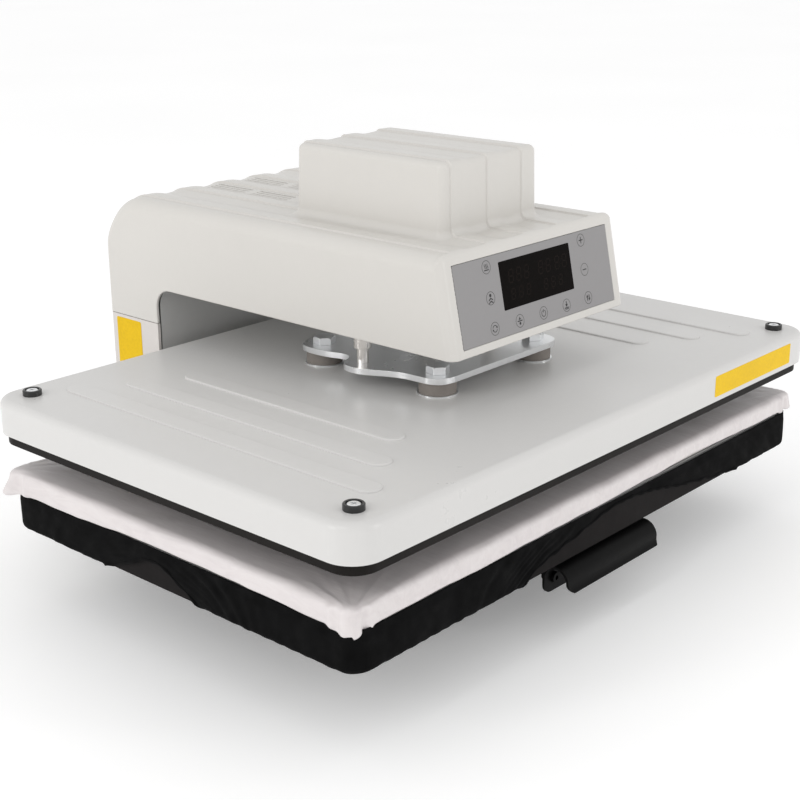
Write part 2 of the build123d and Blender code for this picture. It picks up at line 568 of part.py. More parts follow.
# rear panel with inlet, switch and breaker
rp = bx(-86, 86, arm_yr, arm_yr + 1.5, 64, 176)
rp = fillet(rp.edges().filter_by(Axis.Y), 4.0)
in_x, in_z, sw_x, sw_z = -45.0, 105.0, 20.0, 105.0
rp = cut(rp, bx(in_x - 14, in_x + 14, 290, 300, in_z - 11, in_z + 11), bx(sw_x - 11, sw_x + 11, 290, 300, sw_z - 15, sw_z + 15))
rp_scr = [(-80, 70), (80, 70), (-80, 170), (80, 170)]
write("rear_panel", rp)
py = arm_yr + 1.5
inlet = bx(in_x - 13.8, in_x + 13.8, 272, py, in_z - 10.8, in_z + 10.8) + bx(in_x - 24, in_x + 24, py, py + 2.5, in_z - 14, in_z + 14)
inlet = cut(inlet, bx(in_x - 12, in_x + 12, 280, py + 5, in_z - 8, in_z + 8))
for dx, dz in ((-7, -2), (7, -2), (0, 3)):
    inlet = inlet + bx(in_x + dx - 1, in_x + dx + 1, 279, 293, in_z + dz - 2, in_z + dz + 2)
write("power_inlet", inlet)
sh = bx(sw_x - 10.8, sw_x + 10.8, 272, py, sw_z - 14.8, sw_z + 14.8) + bx(sw_x - 13, sw_x + 13, py, py + 2.0, sw_z - 17, sw_z + 17)
sh = cut(sh, bx(sw_x - 9, sw_x + 9, 275, py + 5, sw_z - 12.6, sw_z + 12.6), cx(sw_x - 12, sw_x + 12, 293.0, sw_z, 2.0))
write("switch_housing", sh)
# rocker: pivots on its pin, about the left-right axis
with BuildSketch(YZ(sw_x - 8.6)) as rk:
    with BuildLine():
        Polyline((289.0, sw_z - 9.0), (299.2, sw_z - 11.6), (300.0, sw_z), (301.6, sw_z + 10.2), (289.0, sw_z + 9.0), close=True)
    make_face()
rocker = extrude(rk.sketch, amount=17.2)
rocker = rocker + cx(sw_x - 10.8, sw_x + 10.8, 293.0, sw_z, 1.95)
write("power_rocker", rocker)
fit_x, fit_z = -101.5, 157.5
fitting = bx(fit_x - 8, fit_x + 8, arm_yr, arm_yr + 6.5, fit_z - 11, fit_z + 11)
fitting = fillet(fitting.edges().filter_by(Axis.Y), 6.0)
fitting = fillet(fitting.faces().sort_by(Axis.Y)[-1].edges(), 2.0)
fitting = cut(fitting, cy(fit_x, arm_yr + 3.5, arm_yr + 8, fit_z, 3.5))
write("rear_fitting", fitting)

# electronics on the arm floor, below the vents
ps = bx(-96, -2, 112, 226, 236.0, 268.0)
for i in range(7):
    ps = ps - bx(-90 + 12 * i, -84 + 12 * i, 125, 213, 264.0, 269)
write("power_supply", ps)
ssr = bx(30, 75, 140, 198, 236.0, 244.0) + bx(30, 75, 140, 198, 244.0, 262.0)
for y in (147.0, 191.0):
    for x in (40.0, 65.0):
        ssr = ssr - cz(x, y, 256, 263, 4.0)
write("solid_state_relay", ssr)
tb = bx(14, 24, 150, 215, 236.0, 250.0)
for i in range(5):
    tb = tb - cz(19, 157 + 12.5 * i, 244, 251, 2.6)
write("terminal_block", tb)

# ---- drawer -------------------------------------------------------------------------------
tray = slab(tray_w, tray_d, tray_r, tray_z0, tray_zt) - slab(tray_w - 3, tray_d - 3, tray_r - 1.5, tray_z0 + 1.5, tray_zt + 1)
post_xy = [(x, y) for x in (-230, 0, 230) for y in (-130, 130)]
for x, y in post_xy:
    tray = tray + cz(x, y, tray_z0 + 1.0, tray_zt, 8.0)
lowp = slab(tray_w, tray_d, tray_r, tray_zt, pad_z0)
write("lower_platen", lowp)
pad = slab(pad_w - 7, pad_d - 7, 10, pad_z0, pad_zt - 2.0)
pad = fillet(pad.faces().sort_by(Axis.Z)[-1].edges(), 5.0)
write("foam_pad", pad)
pc = slab(pad_w, pad_d, 12, pad_z0 + 0.3, pad_zt)
pc = fillet(pc.faces().sort_by(Axis.Z)[-1].edges(), 7.0)
pci = slab(pad_w - 6, pad_d - 6, 10.2, pad_z0 - 1, pad_zt - 1.8)
pci = fillet(pci.faces().sort_by(Axis.Z)[-1].edges(), 5.2)
write("pad_cover", pc - pci)
skirt = slab(602, 388, 16, 67.5, 99.2) - slab(597.4, 383.4, 13.7, 60, 110)
write("pad_skirt", skirt)

slides_out, slides_mid, slides_in, brackets = [], [], [], []
for s in (-1, 1):
    def q(x0, x1, y0, y1, z0, z1):
        return bx(min(s * x0, s * x1), max(s * x0, s * x1), y0, y1, z0, z1)
    o = q(177.0, 178.5, -100, 200, 18, 58) + q(168.0, 177.2, -100, 200, 56.5, 58) + q(168.0, 177.2, -100, 200, 18, 19.5)
    slides_out.append(o)
    m = q(173.3, 174.8, -100, 200, 19.8, 56.2) + q(168.2, 173.5, -100, 200, 54.7, 56.2) + q(168.2, 173.5, -100, 200, 19.8, 21.3)
    slides_mid.append(m)
    # inner rail with the angle that carries the tray
    slides_in.append(q(167.4, 171.0, -100, 200, 21.7, 54.3) + q(164.4, 167.5, -100, 160, 26, tray_z0) + q(140, 164.6, -100, 160, tray_z0 - 3, tray_z0))
write("slide_outer_rails", *slides_out)
write("slide_middle_rails", *slides_mid)
write("slide_inner_rails", *slides_in)
write("drawer_tray", tray)

# handle: vertical leg, curl over the top, flared lip
hb = bx(-60, 60, -173.2, -170.2, 40, tray_z0) + bx(-60, 60, -173.2, -146, tray_z0 - 3, tray_z0)
hb = fillet([e for e in hb.edges().filter_by(Axis.Y) if e.center().Z < 41], 8.0)
for x in (-51, 51):
    hb = hb + cy(x, -171, -166.5, 45.0, 5.0)
for x in (-51, 51):
    hb = hb - cy(x, -190, -160, 45.0, 2.5)
write("handle_bracket", hb)

t = 2.2
path = [(-174.5, 33.5), (-174.5, 41.0), (-174.5, 48.5)]
cy0, cz0, r0 = -186.0, 48.5, 11.5
for i in range(1, 19):
    a = math.radians(10 * i)
    path.append((cy0 + r0 * math.cos(a), cz0 + r0 * math.sin(a)))
c2y, r2 = cy0 - r0 - 8.0, 8.0
for i in range(1, 11):
    a = math.radians(-5 * i)
    path.append((c2y + r2 * math.cos(a), cz0 + r2 * math.sin(a)))
ly, lz = path[-1]
path += [(ly - 0.9, lz - 0.9)]
L, R = [], []
for i, (py_, pz_) in enumerate(path):
    a, b = path[max(i - 1, 0)], path[min(i + 1, len(path) - 1)]
    dy, dz = b[0] - a[0], b[1] - a[1]
    n = math.hypot(dy, dz)
    ny, nz = -dz / n, dy / n
    L.append((py_ + ny * t / 2, pz_ + nz * t / 2))
    R.append((py_ - ny * t / 2, pz_ - nz * t / 2))
with BuildSketch(YZ(-64)) as hs:
    with BuildLine():
        Polyline(*(L + R[::-1]), close=True)
    make_face()
handle = extrude(hs.sketch, amount=128)
lip_z = min(p[1] for p in L[-2:] + R[-2:])
leg_mask = bx(-64, 64, -186, -165, 33.5, 70)
leg_mask = fillet([e for e in leg_mask.edges().filter_by(Axis.Y) if e.center().Z < 34.5], 9.0)
lip_mask = bx(-64, 64, -215, -186, lip_z, 70)
lip_mask = fillet([e for e in lip_mask.edges().filter_by(Axis.Y) if e.center().Z < lip_z + 1], 9.0)
handle = handle & (leg_mask + lip_mask)
for x in (-51, 51):
    handle = handle - cy(x, -183, -170, 45.0, 2.5)
write("pull_handle", handle)
hsc = []
for x in (-51, 51):
    h = cy(x, -178.4, -175.7, 45.0, 4.6)
    h = cut(h, cy(x, -179, -177.0, 45.0, 2.0))
    hsc.append(h + cy(x, -175.9, -165.0, 45.0, 2.5))
write("handle_screws", *hsc)
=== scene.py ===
import json
import math
import bpy
import bmesh
import numpy as np
from mathutils import Vector, Matrix


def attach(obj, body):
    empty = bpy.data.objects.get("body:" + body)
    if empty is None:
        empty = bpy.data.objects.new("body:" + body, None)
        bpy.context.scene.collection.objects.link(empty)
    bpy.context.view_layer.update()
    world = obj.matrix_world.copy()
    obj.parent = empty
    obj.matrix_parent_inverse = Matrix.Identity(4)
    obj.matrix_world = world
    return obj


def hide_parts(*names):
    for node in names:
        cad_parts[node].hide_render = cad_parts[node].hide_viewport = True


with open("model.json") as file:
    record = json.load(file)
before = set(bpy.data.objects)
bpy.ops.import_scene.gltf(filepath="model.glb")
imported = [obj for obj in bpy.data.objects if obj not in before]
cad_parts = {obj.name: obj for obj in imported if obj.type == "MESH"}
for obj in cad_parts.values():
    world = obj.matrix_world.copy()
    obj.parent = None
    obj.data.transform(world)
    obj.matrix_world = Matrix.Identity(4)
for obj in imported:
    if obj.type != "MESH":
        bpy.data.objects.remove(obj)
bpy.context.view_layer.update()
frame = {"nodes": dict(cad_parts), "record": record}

nodes = frame["nodes"]

# Working frame: millimetres, y = 0 at the middle of the heated platen, heights above the table.
YS = -48.675
LEAN = 0.21
LN = math.hypot(1.0, LEAN)
PANEL_Z = 265.25
PANEL_Y = -123.0 + LEAN * (PANEL_Z - 227.0)


def row(p):
    p = np.array(p, float)
    out = p * 0.001
    out[..., 1] += YS * 0.001
    return out


# =============================================================================================
# materials
# =============================================================================================
class Mat:
    """Small helper round a node tree: object-space coordinates, noise layers, bump and roughness."""

    def __init__(self, name):
        self.m = bpy.data.materials.new(name)
        self.m.use_nodes = True
        self.t = self.m.node_tree
        self.t.nodes.clear()
        self.out = self.t.nodes.new("ShaderNodeOutputMaterial")
        self.b = self.t.nodes.new("ShaderNodeBsdfPrincipled")
        self.t.links.new(self.b.outputs[0], self.out.inputs[0])
        self.tc = self.t.nodes.new("ShaderNodeTexCoord")
        self.co = self.tc.outputs["Object"]
        self.normal = None

    def link(self, a, b):
        self.t.links.new(a, b)

    def node(self, kind, **kw):
        n = self.t.nodes.new(kind)
        for k, v in kw.items():
            if hasattr(n, k):
                setattr(n, k, v)
        return n

    def mapping(self, scale=(1, 1, 1), rot=(0, 0, 0), co=None):
        n = self.node("ShaderNodeMapping")
        n.inputs["Scale"].default_value = scale
        n.inputs["Rotation"].default_value = rot
        self.link(co or self.co, n.inputs["Vector"])
        return n.outputs[0]

    def noise(self, scale, detail=3.0, rough=0.5, dist=0.0, co=None):
        n = self.node("ShaderNodeTexNoise")
        n.inputs["Scale"].default_value = scale
        n.inputs["Detail"].default_value = detail
        n.inputs["Roughness"].default_value = rough
        n.inputs["Distortion"].default_value = dist
        self.link(co or self.co, n.inputs["Vector"])
        return n.outputs["Fac"]

    def ramp(self, fac, stops):
        n = self.node("ShaderNodeValToRGB")
        e = n.color_ramp.elements
        while len(e) < len(stops):
            e.new(0.5)
        for el, (p, c) in zip(e, stops):
            el.position = p
            el.color = (c[0], c[1], c[2], 1.0) if hasattr(c, "__len__") else (c, c, c, 1.0)
        self.link(fac, n.inputs[0])
        return n.outputs[0]

    def rng(self, fac, a, b, lo, hi):
        n = self.node("ShaderNodeMapRange")
        n.inputs["From Min"].default_value = a
        n.inputs["From Max"].default_value = b
        n.inputs["To Min"].default_value = lo
        n.inputs["To Max"].default_value = hi
        self.link(fac, n.inputs["Value"])
        return n.outputs[0]

    def math(self, op, a, b=None):
        n = self.node("ShaderNodeMath", operation=op)
        for i, v in enumerate((a, b)):
            if v is None:
                continue
            if isinstance(v, (int, float)):
                n.inputs[i].default_value = v
            else:
                self.link(v, n.inputs[i])
        return n.outputs[0]

    def mix(self, fac, a, b, blend="MIX"):
        n = self.node("ShaderNodeMix", data_type="RGBA", blend_type=blend)
        for sock, v in ((n.inputs[0], fac), (n.inputs[6], a), (n.inputs[7], b)):
            if isinstance(v, (int, float)):
                sock.default_value = v
            elif isinstance(v, tuple):
                sock.default_value = (v[0], v[1], v[2], 1.0)
            else:
                self.link(v, sock)
        return n.outputs[2]

    def bump(self, height, strength, distance):
        n = self.node("ShaderNodeBump")
        n.inputs["Strength"].default_value = strength
        n.inputs["Distance"].default_value = distance
        self.link(height, n.inputs["Height"])
        if self.normal is not None:
            self.link(self.normal, n.inputs["Normal"])
        self.normal = n.outputs[0]
        self.link(self.normal, self.b.inputs["Normal"])

    def set(self, **kw):
        for k, v in kw.items():
            s = self.b.inputs[k.replace("_", " ")]
            if isinstance(v, (int, float)):
                s.default_value = v
            elif isinstance(v, tuple):
                s.default_value = (v[0], v[1], v[2], 1.0) if len(v) == 3 and s.type == "RGBA" else v
            else:
                self.link(v, s)
        return self


def shade(c, k):
    return tuple(max(0.0, min(1.0, x * k)) for x in c)


def painted(name, c, rough=0.4, vary=0.03, peel=900.0, peel_d=0.00002, peel_s=0.35, spec=0.5, coat=0.0, metallic=0.0,
            rough_vary=0.05, tint=None):
    """Powder coat or moulded plastic: soft mottling, orange peel, slightly uneven gloss."""
    m = Mat(name)
    big = m.noise(7.0, 3.0, 0.55)
    fine = m.noise(140.0, 3.0, 0.6)
    both = m.math("ADD", m.math("MULTIPLY", big, 0.7), m.math("MULTIPLY", fine, 0.3))
    t = tint or c
    m.set(Base_Color=m.ramp(both, [(0.32, shade(t, 1 - vary)), (0.5, c), (0.70, shade(c, 1 + vary))]))
    m.set(Roughness=m.rng(both, 0.3, 0.7, rough + rough_vary, rough - rough_vary))
    m.set(Metallic=metallic)
    m.b.inputs["Specular IOR Level"].default_value = spec
    m.b.inputs["Coat Weight"].default_value = coat
    m.b.inputs["Coat Roughness"].default_value = 0.16
    m.bump(m.noise(peel, 2.0, 0.55), peel_s, peel_d)
    return m


def metal(name, c, rough=0.3, brush=(1, 1, 1), brush_scale=600.0, strength=0.15, vary=0.06, stain=0.0, rough_vary=0.08):
    m = Mat(name)
    co = m.mapping(scale=brush)
    streak = m.noise(brush_scale, 4.0, 0.65, co=co)
    cloud = m.noise(22.0, 4.0, 0.6)
    f = m.math("ADD", m.math("MULTIPLY", streak, 0.5), m.math("MULTIPLY", cloud, 0.5))
    m.set(Base_Color=m.ramp(f, [(0.3, shade(c, 1 - vary)), (0.52, c), (0.72, shade(c, 1 + vary))]))
    m.set(Roughness=m.rng(f, 0.3, 0.7, rough - rough_vary, rough + rough_vary))
    m.set(Metallic=1.0)
    bev = m.node("ShaderNodeBevel", samples=4)
    bev.inputs["Radius"].default_value = 0.0004
    m.normal = bev.outputs[0]
    m.bump(streak, strength, 0.00003)
    return m


mats = {}


def build_materials():
    M = mats
    M["cover_white"] = painted("cover_white", (0.655, 0.636, 0.604), rough=0.33, vary=0.012, peel=1100.0, peel_d=0.000008, peel_s=0.15, spec=0.20, coat=0.25).m
    M["column_white"] = painted("column_white", (0.675, 0.64, 0.612), rough=0.42, vary=0.014, peel=1300.0, peel_d=0.00002).m
    M["platen_grey"] = painted("platen_grey", (0.65, 0.642, 0.630), rough=0.32, vary=0.012, peel=700.0, peel_d=0.000010, peel_s=0.12, spec=0.45).m
    M["band_black"] = painted("band_black", (0.010, 0.0085, 0.0075), rough=0.5, vary=0.25, peel=1600.0, peel_d=0.00003, spec=0.10).m
    M["black_steel"] = painted("black_steel", (0.0045, 0.0045, 0.0045), rough=0.40, vary=0.3, peel=1200.0, peel_d=0.00004, peel_s=0.5, spec=0.07).m
    M["tray_grey"] = painted("tray_grey", (0.013, 0.0115, 0.0115), rough=0.6, vary=0.18, peel=1000.0, peel_d=0.00004, peel_s=0.5, spec=0.05).m
    M["frame_grey"] = painted("frame_grey", (0.34, 0.35, 0.36), rough=0.45, vary=0.05).m
    M["pan_grey"] = painted("pan_grey", (0.60, 0.60, 0.59), rough=0.33, vary=0.03, metallic=0.15).m
    M["platen_steel"] = painted("platen_steel", (0.27, 0.27, 0.27), rough=0.42, vary=0.06).m
    M["motor_can"] = painted("motor_can", (0.035, 0.035, 0.038), rough=0.34, vary=0.15).m
    M["black_plastic"] = painted("black_plastic", (0.016, 0.016, 0.016), rough=0.32, vary=0.2, peel=900.0, peel_d=0.00003).m
    M["rocker_black"] = painted("rocker_black", (0.012, 0.012, 0.012), rough=0.2, vary=0.2).m
    M["fitting_grey"] = painted("fitting_grey", (0.42, 0.41, 0.38), rough=0.45, vary=0.05).m
    M["spacer_brown"] = painted("spacer_brown", (0.235, 0.21, 0.19), rough=0.62, vary=0.16, peel=700.0, peel_d=0.00008, peel_s=0.7).m
    M["feet_rubber"] = painted("feet_rubber", (0.018, 0.018, 0.018), rough=0.75, vary=0.2, peel=600.0, peel_d=0.00006).m
    M["zinc_plate"] = metal("zinc_plate", (0.88, 0.89, 0.90), rough=0.30, brush=(1, 3, 1), brush_scale=160.0, strength=0.03, vary=0.03, rough_vary=0.04).m
    M["gear_steel"] = metal("gear_steel", (0.50, 0.49, 0.47), rough=0.32, vary=0.12).m
    M["polished_steel"] = metal("polished_steel", (0.80, 0.77, 0.74), rough=0.13, brush=(1, 1, 0.06), brush_scale=900.0, strength=0.06, vary=0.04, rough_vary=0.04).m
    M["platen_coat"] = painted("platen_coat", (0.045, 0.044, 0.046), rough=0.38, vary=0.12, peel=900.0, peel_d=0.00003).m
    M["psu_metal"] = metal("psu_metal", (0.62, 0.63, 0.63), rough=0.35, brush=(1, 0.1, 1), brush_scale=500.0).m
    M["bronze"] = metal("bronze", (0.55, 0.38, 0.17), rough=0.38, vary=0.14).m
    M["heater_steel"] = metal("heater_steel", (0.26, 0.22, 0.19), rough=0.45, vary=0.25).m

    m = painted("panel_grey", (0.285, 0.277, 0.279), rough=0.34, vary=0.02, peel=2600.0, peel_d=0.000012, peel_s=0.4, spec=0.55, metallic=0.25)
    M["panel_grey"] = m.m

    m = Mat("display_dark")
    f = m.noise(260.0, 4.0, 0.6)
    m.set(Base_Color=m.ramp(f, [(0.35, (0.0030, 0.0022, 0.0018)), (0.62, (0.0040, 0.0030, 0.0026)), (0.8, (0.006, 0.0045, 0.0036))]))
    m.set(Roughness=m.rng(m.noise(30.0), 0.3, 0.7, 0.20, 0.30))
    m.b.inputs["Specular IOR Level"].default_value = 0.03
    m.bump(m.noise(900.0, 2.0), 0.1, 0.00001)
    M["display_dark"] = m.m

    m = Mat("board_green")
    v = m.node("ShaderNodeTexVoronoi", feature="DISTANCE_TO_EDGE")
    v.inputs["Scale"].default_value = 320.0
    m.link(m.co, v.inputs["Vector"])
    m.set(Base_Color=m.ramp(v.outputs["Distance"], [(0.02, (0.05, 0.25, 0.11)), (0.10, (0.02, 0.12, 0.06))]))
    m.set(Roughness=m.rng(m.noise(80.0), 0.3, 0.7, 0.3, 0.42))
    m.bump(v.outputs["Distance"], 0.3, 0.0001)
    M["board_green"] = m.m

    m = Mat("label_yellow")
    f = m.math("ADD", m.math("MULTIPLY", m.noise(18.0, 4.0), 0.6), m.math("MULTIPLY", m.noise(420.0, 2.0), 0.4))
    m.set(Base_Color=m.ramp(f, [(0.35, (0.76, 0.48, 0.004)), (0.55, (0.83, 0.535, 0.005)), (0.7, (0.86, 0.57, 0.008))]))
    m.set(Roughness=m.rng(f, 0.3, 0.7, 0.30, 0.42))
    m.b.inputs["Specular IOR Level"].default_value = 0.12
    m.bump(m.noise(500.0, 2.0), 0.12, 0.00003)
    M["label_yellow"] = m.m

    # coated white cloth: fine plain weave, satin, pinkish
    m = Mat("cloth_white")
    w1 = m.node("ShaderNodeTexWave", wave_type="BANDS", bands_direction="X")
    w2 = m.node("ShaderNodeTexWave", wave_type="BANDS", bands_direction="Y")
    for w in (w1, w2):
        w.inputs["Scale"].default_value = 620.0
        w.inputs["Distortion"].default_value = 0.6
        w.inputs["Detail"].default_value = 1.0
        m.link(m.co, w.inputs["Vector"])
    weave = m.math("MULTIPLY", w1.outputs["Fac"], w2.outputs["Fac"])
    cloud = m.noise(26.0, 5.0, 0.6)
    crease_relief_and_shade = m.noise(90.0, 5.0, 0.62, 1.2, co=m.mapping(scale=(1.3, 0.24, 1.0), rot=(0, 0, 0.5)))
    f = m.math("ADD", m.math("MULTIPLY", cloud, 0.3), m.math("MULTIPLY", crease_relief_and_shade, 0.7))
    # colour follows the crease relief: darker in the crease hollows (painted shade) and lighter on their ridges
    # (painted light); the cloud part is random tone
    m.set(Base_Color=m.ramp(f, [(0.30, (0.64, 0.595, 0.595)), (0.5, (0.70, 0.655, 0.652)), (0.7, (0.745, 0.705, 0.70))]))
    m.set(Roughness=m.rng(f, 0.3, 0.7, 0.46, 0.34))
    m.b.inputs["Sheen Weight"].default_value = 0.15
    m.b.inputs["Sheen Roughness"].default_value = 0.4
    m.b.inputs["Specular IOR Level"].default_value = 0.7
    m.bump(weave, 0.10, 0.00006)
    m.bump(crease_relief_and_shade, 0.4, 0.0009)
    M["cloth_white"] = m.m

    # black elastic knit
    m = Mat("cloth_black")
    w1 = m.node("ShaderNodeTexWave", wave_type="BANDS", bands_direction="Z")
    w1.inputs["Scale"].default_value = 520.0
    w1.inputs["Distortion"].default_value = 2.0
    w1.inputs["Detail"].default_value = 2.0
    m.link(m.co, w1.inputs["Vector"])
    f = m.noise(60.0, 5.0, 0.6)
    m.set(Base_Color=m.ramp(f, [(0.3, (0.0024, 0.0024, 0.0025)), (0.55, (0.0038, 0.0038, 0.0040)), (0.75, (0.0065, 0.0063, 0.0063))]))
    m.set(Roughness=m.rng(f, 0.3, 0.7, 0.95, 0.8))
    m.b.inputs["Sheen Weight"].default_value = 0.012
    m.b.inputs["Sheen Roughness"].default_value = 0.5
    m.b.inputs["Specular IOR Level"].default_value = 0.06
    m.bump(w1.outputs["Fac"], 0.25, 0.00012)
    M["cloth_black"] = m.m

    m = Mat("foam_white")
    v = m.node("ShaderNodeTexVoronoi")
    v.inputs["Scale"].default_value = 700.0
    m.link(m.co, v.inputs["Vector"])
    # the pore field also sets the colour: darker in the pore hollows, painted shade in the pores
    m.set(Base_Color=m.ramp(v.outputs["Distance"], [(0.1, (0.62, 0.60, 0.56)), (0.5, (0.78, 0.76, 0.72))]))
    m.set(Roughness=m.rng(m.noise(60.0), 0.3, 0.7, 0.8, 0.95))
    m.bump(v.outputs["Distance"], 0.5, 0.0004)
    M["foam_white"] = m.m

    m = Mat("blanket_fibre")
    n1 = m.noise(300.0, 6.0, 0.7, 2.5, co=m.mapping(scale=(1, 6, 1)))
    m.set(Base_Color=m.ramp(n1, [(0.3, (0.68, 0.65, 0.55)), (0.6, (0.86, 0.84, 0.77))]))
    m.set(Roughness=m.rng(n1, 0.3, 0.7, 0.85, 1.0))
    m.bump(n1, 0.8, 0.0008)
    M["blanket_fibre"] = m.m

    m = Mat("ink_black")
    m.set(Base_Color=m.ramp(m.noise(800.0), [(0.3, (0.010, 0.009, 0.010)), (0.7, (0.018, 0.016, 0.018))]))
    m.set(Roughness=m.rng(m.noise(90.0), 0.3, 0.7, 0.4, 0.5))
    M["ink_black"] = m.m
    m = Mat("ink_grey")
    m.set(Base_Color=m.ramp(m.noise(800.0), [(0.3, (0.038, 0.036, 0.038)), (0.7, (0.052, 0.050, 0.052))]))
    m.set(Roughness=m.rng(m.noise(90.0), 0.3, 0.7, 0.4, 0.5))
    M["ink_grey"] = m.m
    m = Mat("unlit_segments")
    m.set(Base_Color=m.ramp(m.noise(900.0), [(0.3, (0.0075, 0.0052, 0.0045)), (0.7, (0.0125, 0.009, 0.0075))]))
    m.set(Roughness=m.rng(m.noise(90.0), 0.3, 0.7, 0.2, 0.3))
    m.b.inputs["Specular IOR Level"].default_value = 0.03
    M["unlit_segments"] = m.m


build_materials()


# =============================================================================================
# mesh helpers
# =============================================================================================
def make(name, verts_mm, faces, body, slot, mat=None, smooth=True, replaces=(), normals=None):
    me = bpy.data.meshes.new(name)
    me.from_pydata(row(verts_mm).tolist(), [], faces if isinstance(faces, list) else faces.tolist())
    me.update()
    me.polygons.foreach_set("use_smooth", np.full(len(me.polygons), smooth))
    if normals is not None:
        me.normals_split_custom_set_from_vertices(np.asarray(normals, float).tolist())
    ob = bpy.data.objects.new(name, me)
    bpy.context.scene.collection.objects.link(ob)
    me.materials.append(mat or mats[slot])
    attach(ob, body)
    if replaces:
        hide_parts(*replaces)
    return ob


def nets(F, X, Y, Z):
    """Surface nets on a rectilinear grid; F < 0 is inside. Returns vertices and outward quads."""
    ins = F < 0
    c = np.zeros(tuple(s - 1 for s in F.shape), np.int8)
    for di in (0, 1):
        for dj in (0, 1):
            for dk in (0, 1):
                c += ins[di:F.shape[0] - 1 + di, dj:F.shape[1] - 1 + dj, dk:F.shape[2] - 1 + dk]
    act = (c > 0) & (c < 8)
    I, J, K = np.nonzero(act)
    idx = np.full(act.shape, -1, np.int64)
    idx[I, J, K] = np.arange(len(I))
    acc = np.zeros((len(I), 3))
    cnt = np.zeros(len(I))
    cor = [(a, b, d) for a in (0, 1) for b in (0, 1) for d in (0, 1)]
    for n0, p0 in enumerate(cor):
        for p1 in cor[n0 + 1:]:
            if sum(abs(p0[q] - p1[q]) for q in range(3)) != 1:
                continue
            f0 = F[I + p0[0], J + p0[1], K + p0[2]]
            f1 = F[I + p1[0], J + p1[1], K + p1[2]]
            s = (f0 < 0) != (f1 < 0)
            t = np.where(s, f0 / np.where(s, f0 - f1, 1), 0)
            a = np.stack([X[I + p0[0]], Y[J + p0[1]], Z[K + p0[2]]], -1)
            b = np.stack([X[I + p1[0]], Y[J + p1[1]], Z[K + p1[2]]], -1)
            acc += np.where(s[:, None], a + (b - a) * t[:, None], 0)
            cnt += s
    V = acc / np.maximum(cnt, 1)[:, None]
    quads = []
    # edges along x
    s = ins[:-1, 1:-1, 1:-1] != ins[1:, 1:-1, 1:-1]
    i, j, k = np.nonzero(s)
    j, k = j + 1, k + 1
    q = np.stack([idx[i, j - 1, k - 1], idx[i, j, k - 1], idx[i, j, k], idx[i, j - 1, k]], -1)
    fl = ~ins[i, j, k]
    q[fl] = q[fl][:, ::-1]
    quads.append(q)
    s = ins[1:-1, :-1, 1:-1] != ins[1:-1, 1:, 1:-1]
    i, j, k = np.nonzero(s)
    i, k = i + 1, k + 1
    q = np.stack([idx[i - 1, j, k - 1], idx[i - 1, j, k], idx[i, j, k], idx[i, j, k - 1]], -1)
    fl = ~ins[i, j, k]
    q[fl] = q[fl][:, ::-1]
    quads.append(q)
    s = ins[1:-1, 1:-1, :-1] != ins[1:-1, 1:-1, 1:]
    i, j, k = np.nonzero(s)
    i, j = i + 1, j + 1
    q = np.stack([idx[i - 1, j - 1, k], idx[i, j - 1, k], idx[i, j, k], idx[i - 1, j, k]], -1)
    fl = ~ins[i, j, k]
    q[fl] = q[fl][:, ::-1]
    quads.append(q)
    return V, np.concatenate(quads)


def gradient(fn, V, e=0.05):
    g = np.zeros_like(V)
    for a in range(3):
        d = np.zeros(3)
        d[a] = e
        p, m = V + d, V - d
        g[:, a] = (fn(p[:, 0], p[:, 1], p[:, 2]) - fn(m[:, 0], m[:, 1], m[:, 2])) / (2 * e)
    return g


def settle(fn, V, steps=3, cap=0.8):
    """Moves the vertices onto fn = 0 and returns them with their normals."""
    for _ in range(steps):
        f = fn(V[:, 0], V[:, 1], V[:, 2])
        g = gradient(fn, V)
        n2 = np.maximum((g * g).sum(1), 1e-6)
        step = g * (f / n2)[:, None]
        ln = np.linalg.norm(step, axis=1)
        step *= np.minimum(1.0, cap / np.maximum(ln, 1e-9))[:, None]
        V = V - step
    g = gradient(fn, V, 0.12)
    return V, g / np.maximum(np.linalg.norm(g, axis=1), 1e-9)[:, None]


def rmax(a, b, r):
    return np.minimum(np.maximum(a, b), -r) + np.hypot(np.maximum(a + r, 0), np.maximum(b + r, 0))


def rmin(a, b, r):
    return np.maximum(np.minimum(a, b), r) - np.hypot(np.maximum(r - a, 0), np.maximum(r - b, 0))


def sstep(a, b, x):
    t = np.clip((x - a) / (b - a), 0, 1)
    return t * t * (3 - 2 * t)


def axis_samples(*spans):
    """Spans (start, end, step) joined into one rising list."""
    out = []
    for a, b, s in spans:
        n = max(1, int(round((b - a) / s)))
        out += list(np.linspace(a, b, n, endpoint=False))
    out.append(spans[-1][1])
    return np.array(out)


# =============================================================================================
# arm cover: fluted moulding with the motor hump
# =============================================================================================
PITCH, LINE0 = 45.5, -5.9


def flute(x, deep, step):
    """Inward depth across the arm: a land, a soft hollow, and a small sharp step up to the next land."""
    u = np.mod(x - LINE0, PITCH)
    d = np.where(u < 10.0, 0.0,
        np.where(u < 27.0, deep * (0.5 - 0.5 * np.cos(np.pi * (u - 10.0) / 17.0)),
        np.where(u < 44.0, step + (deep - step) * (0.5 + 0.5 * np.cos(np.pi * (u - 27.0) / 17.0)),
                 step * (1 - sstep(44.0, 45.2, u)))))
    bead = np.exp(-((u - 0.6) / 0.7) ** 2) + np.exp(-((u - 0.6 - PITCH) / 0.7) ** 2)
    return d - 0.16 * step * bead


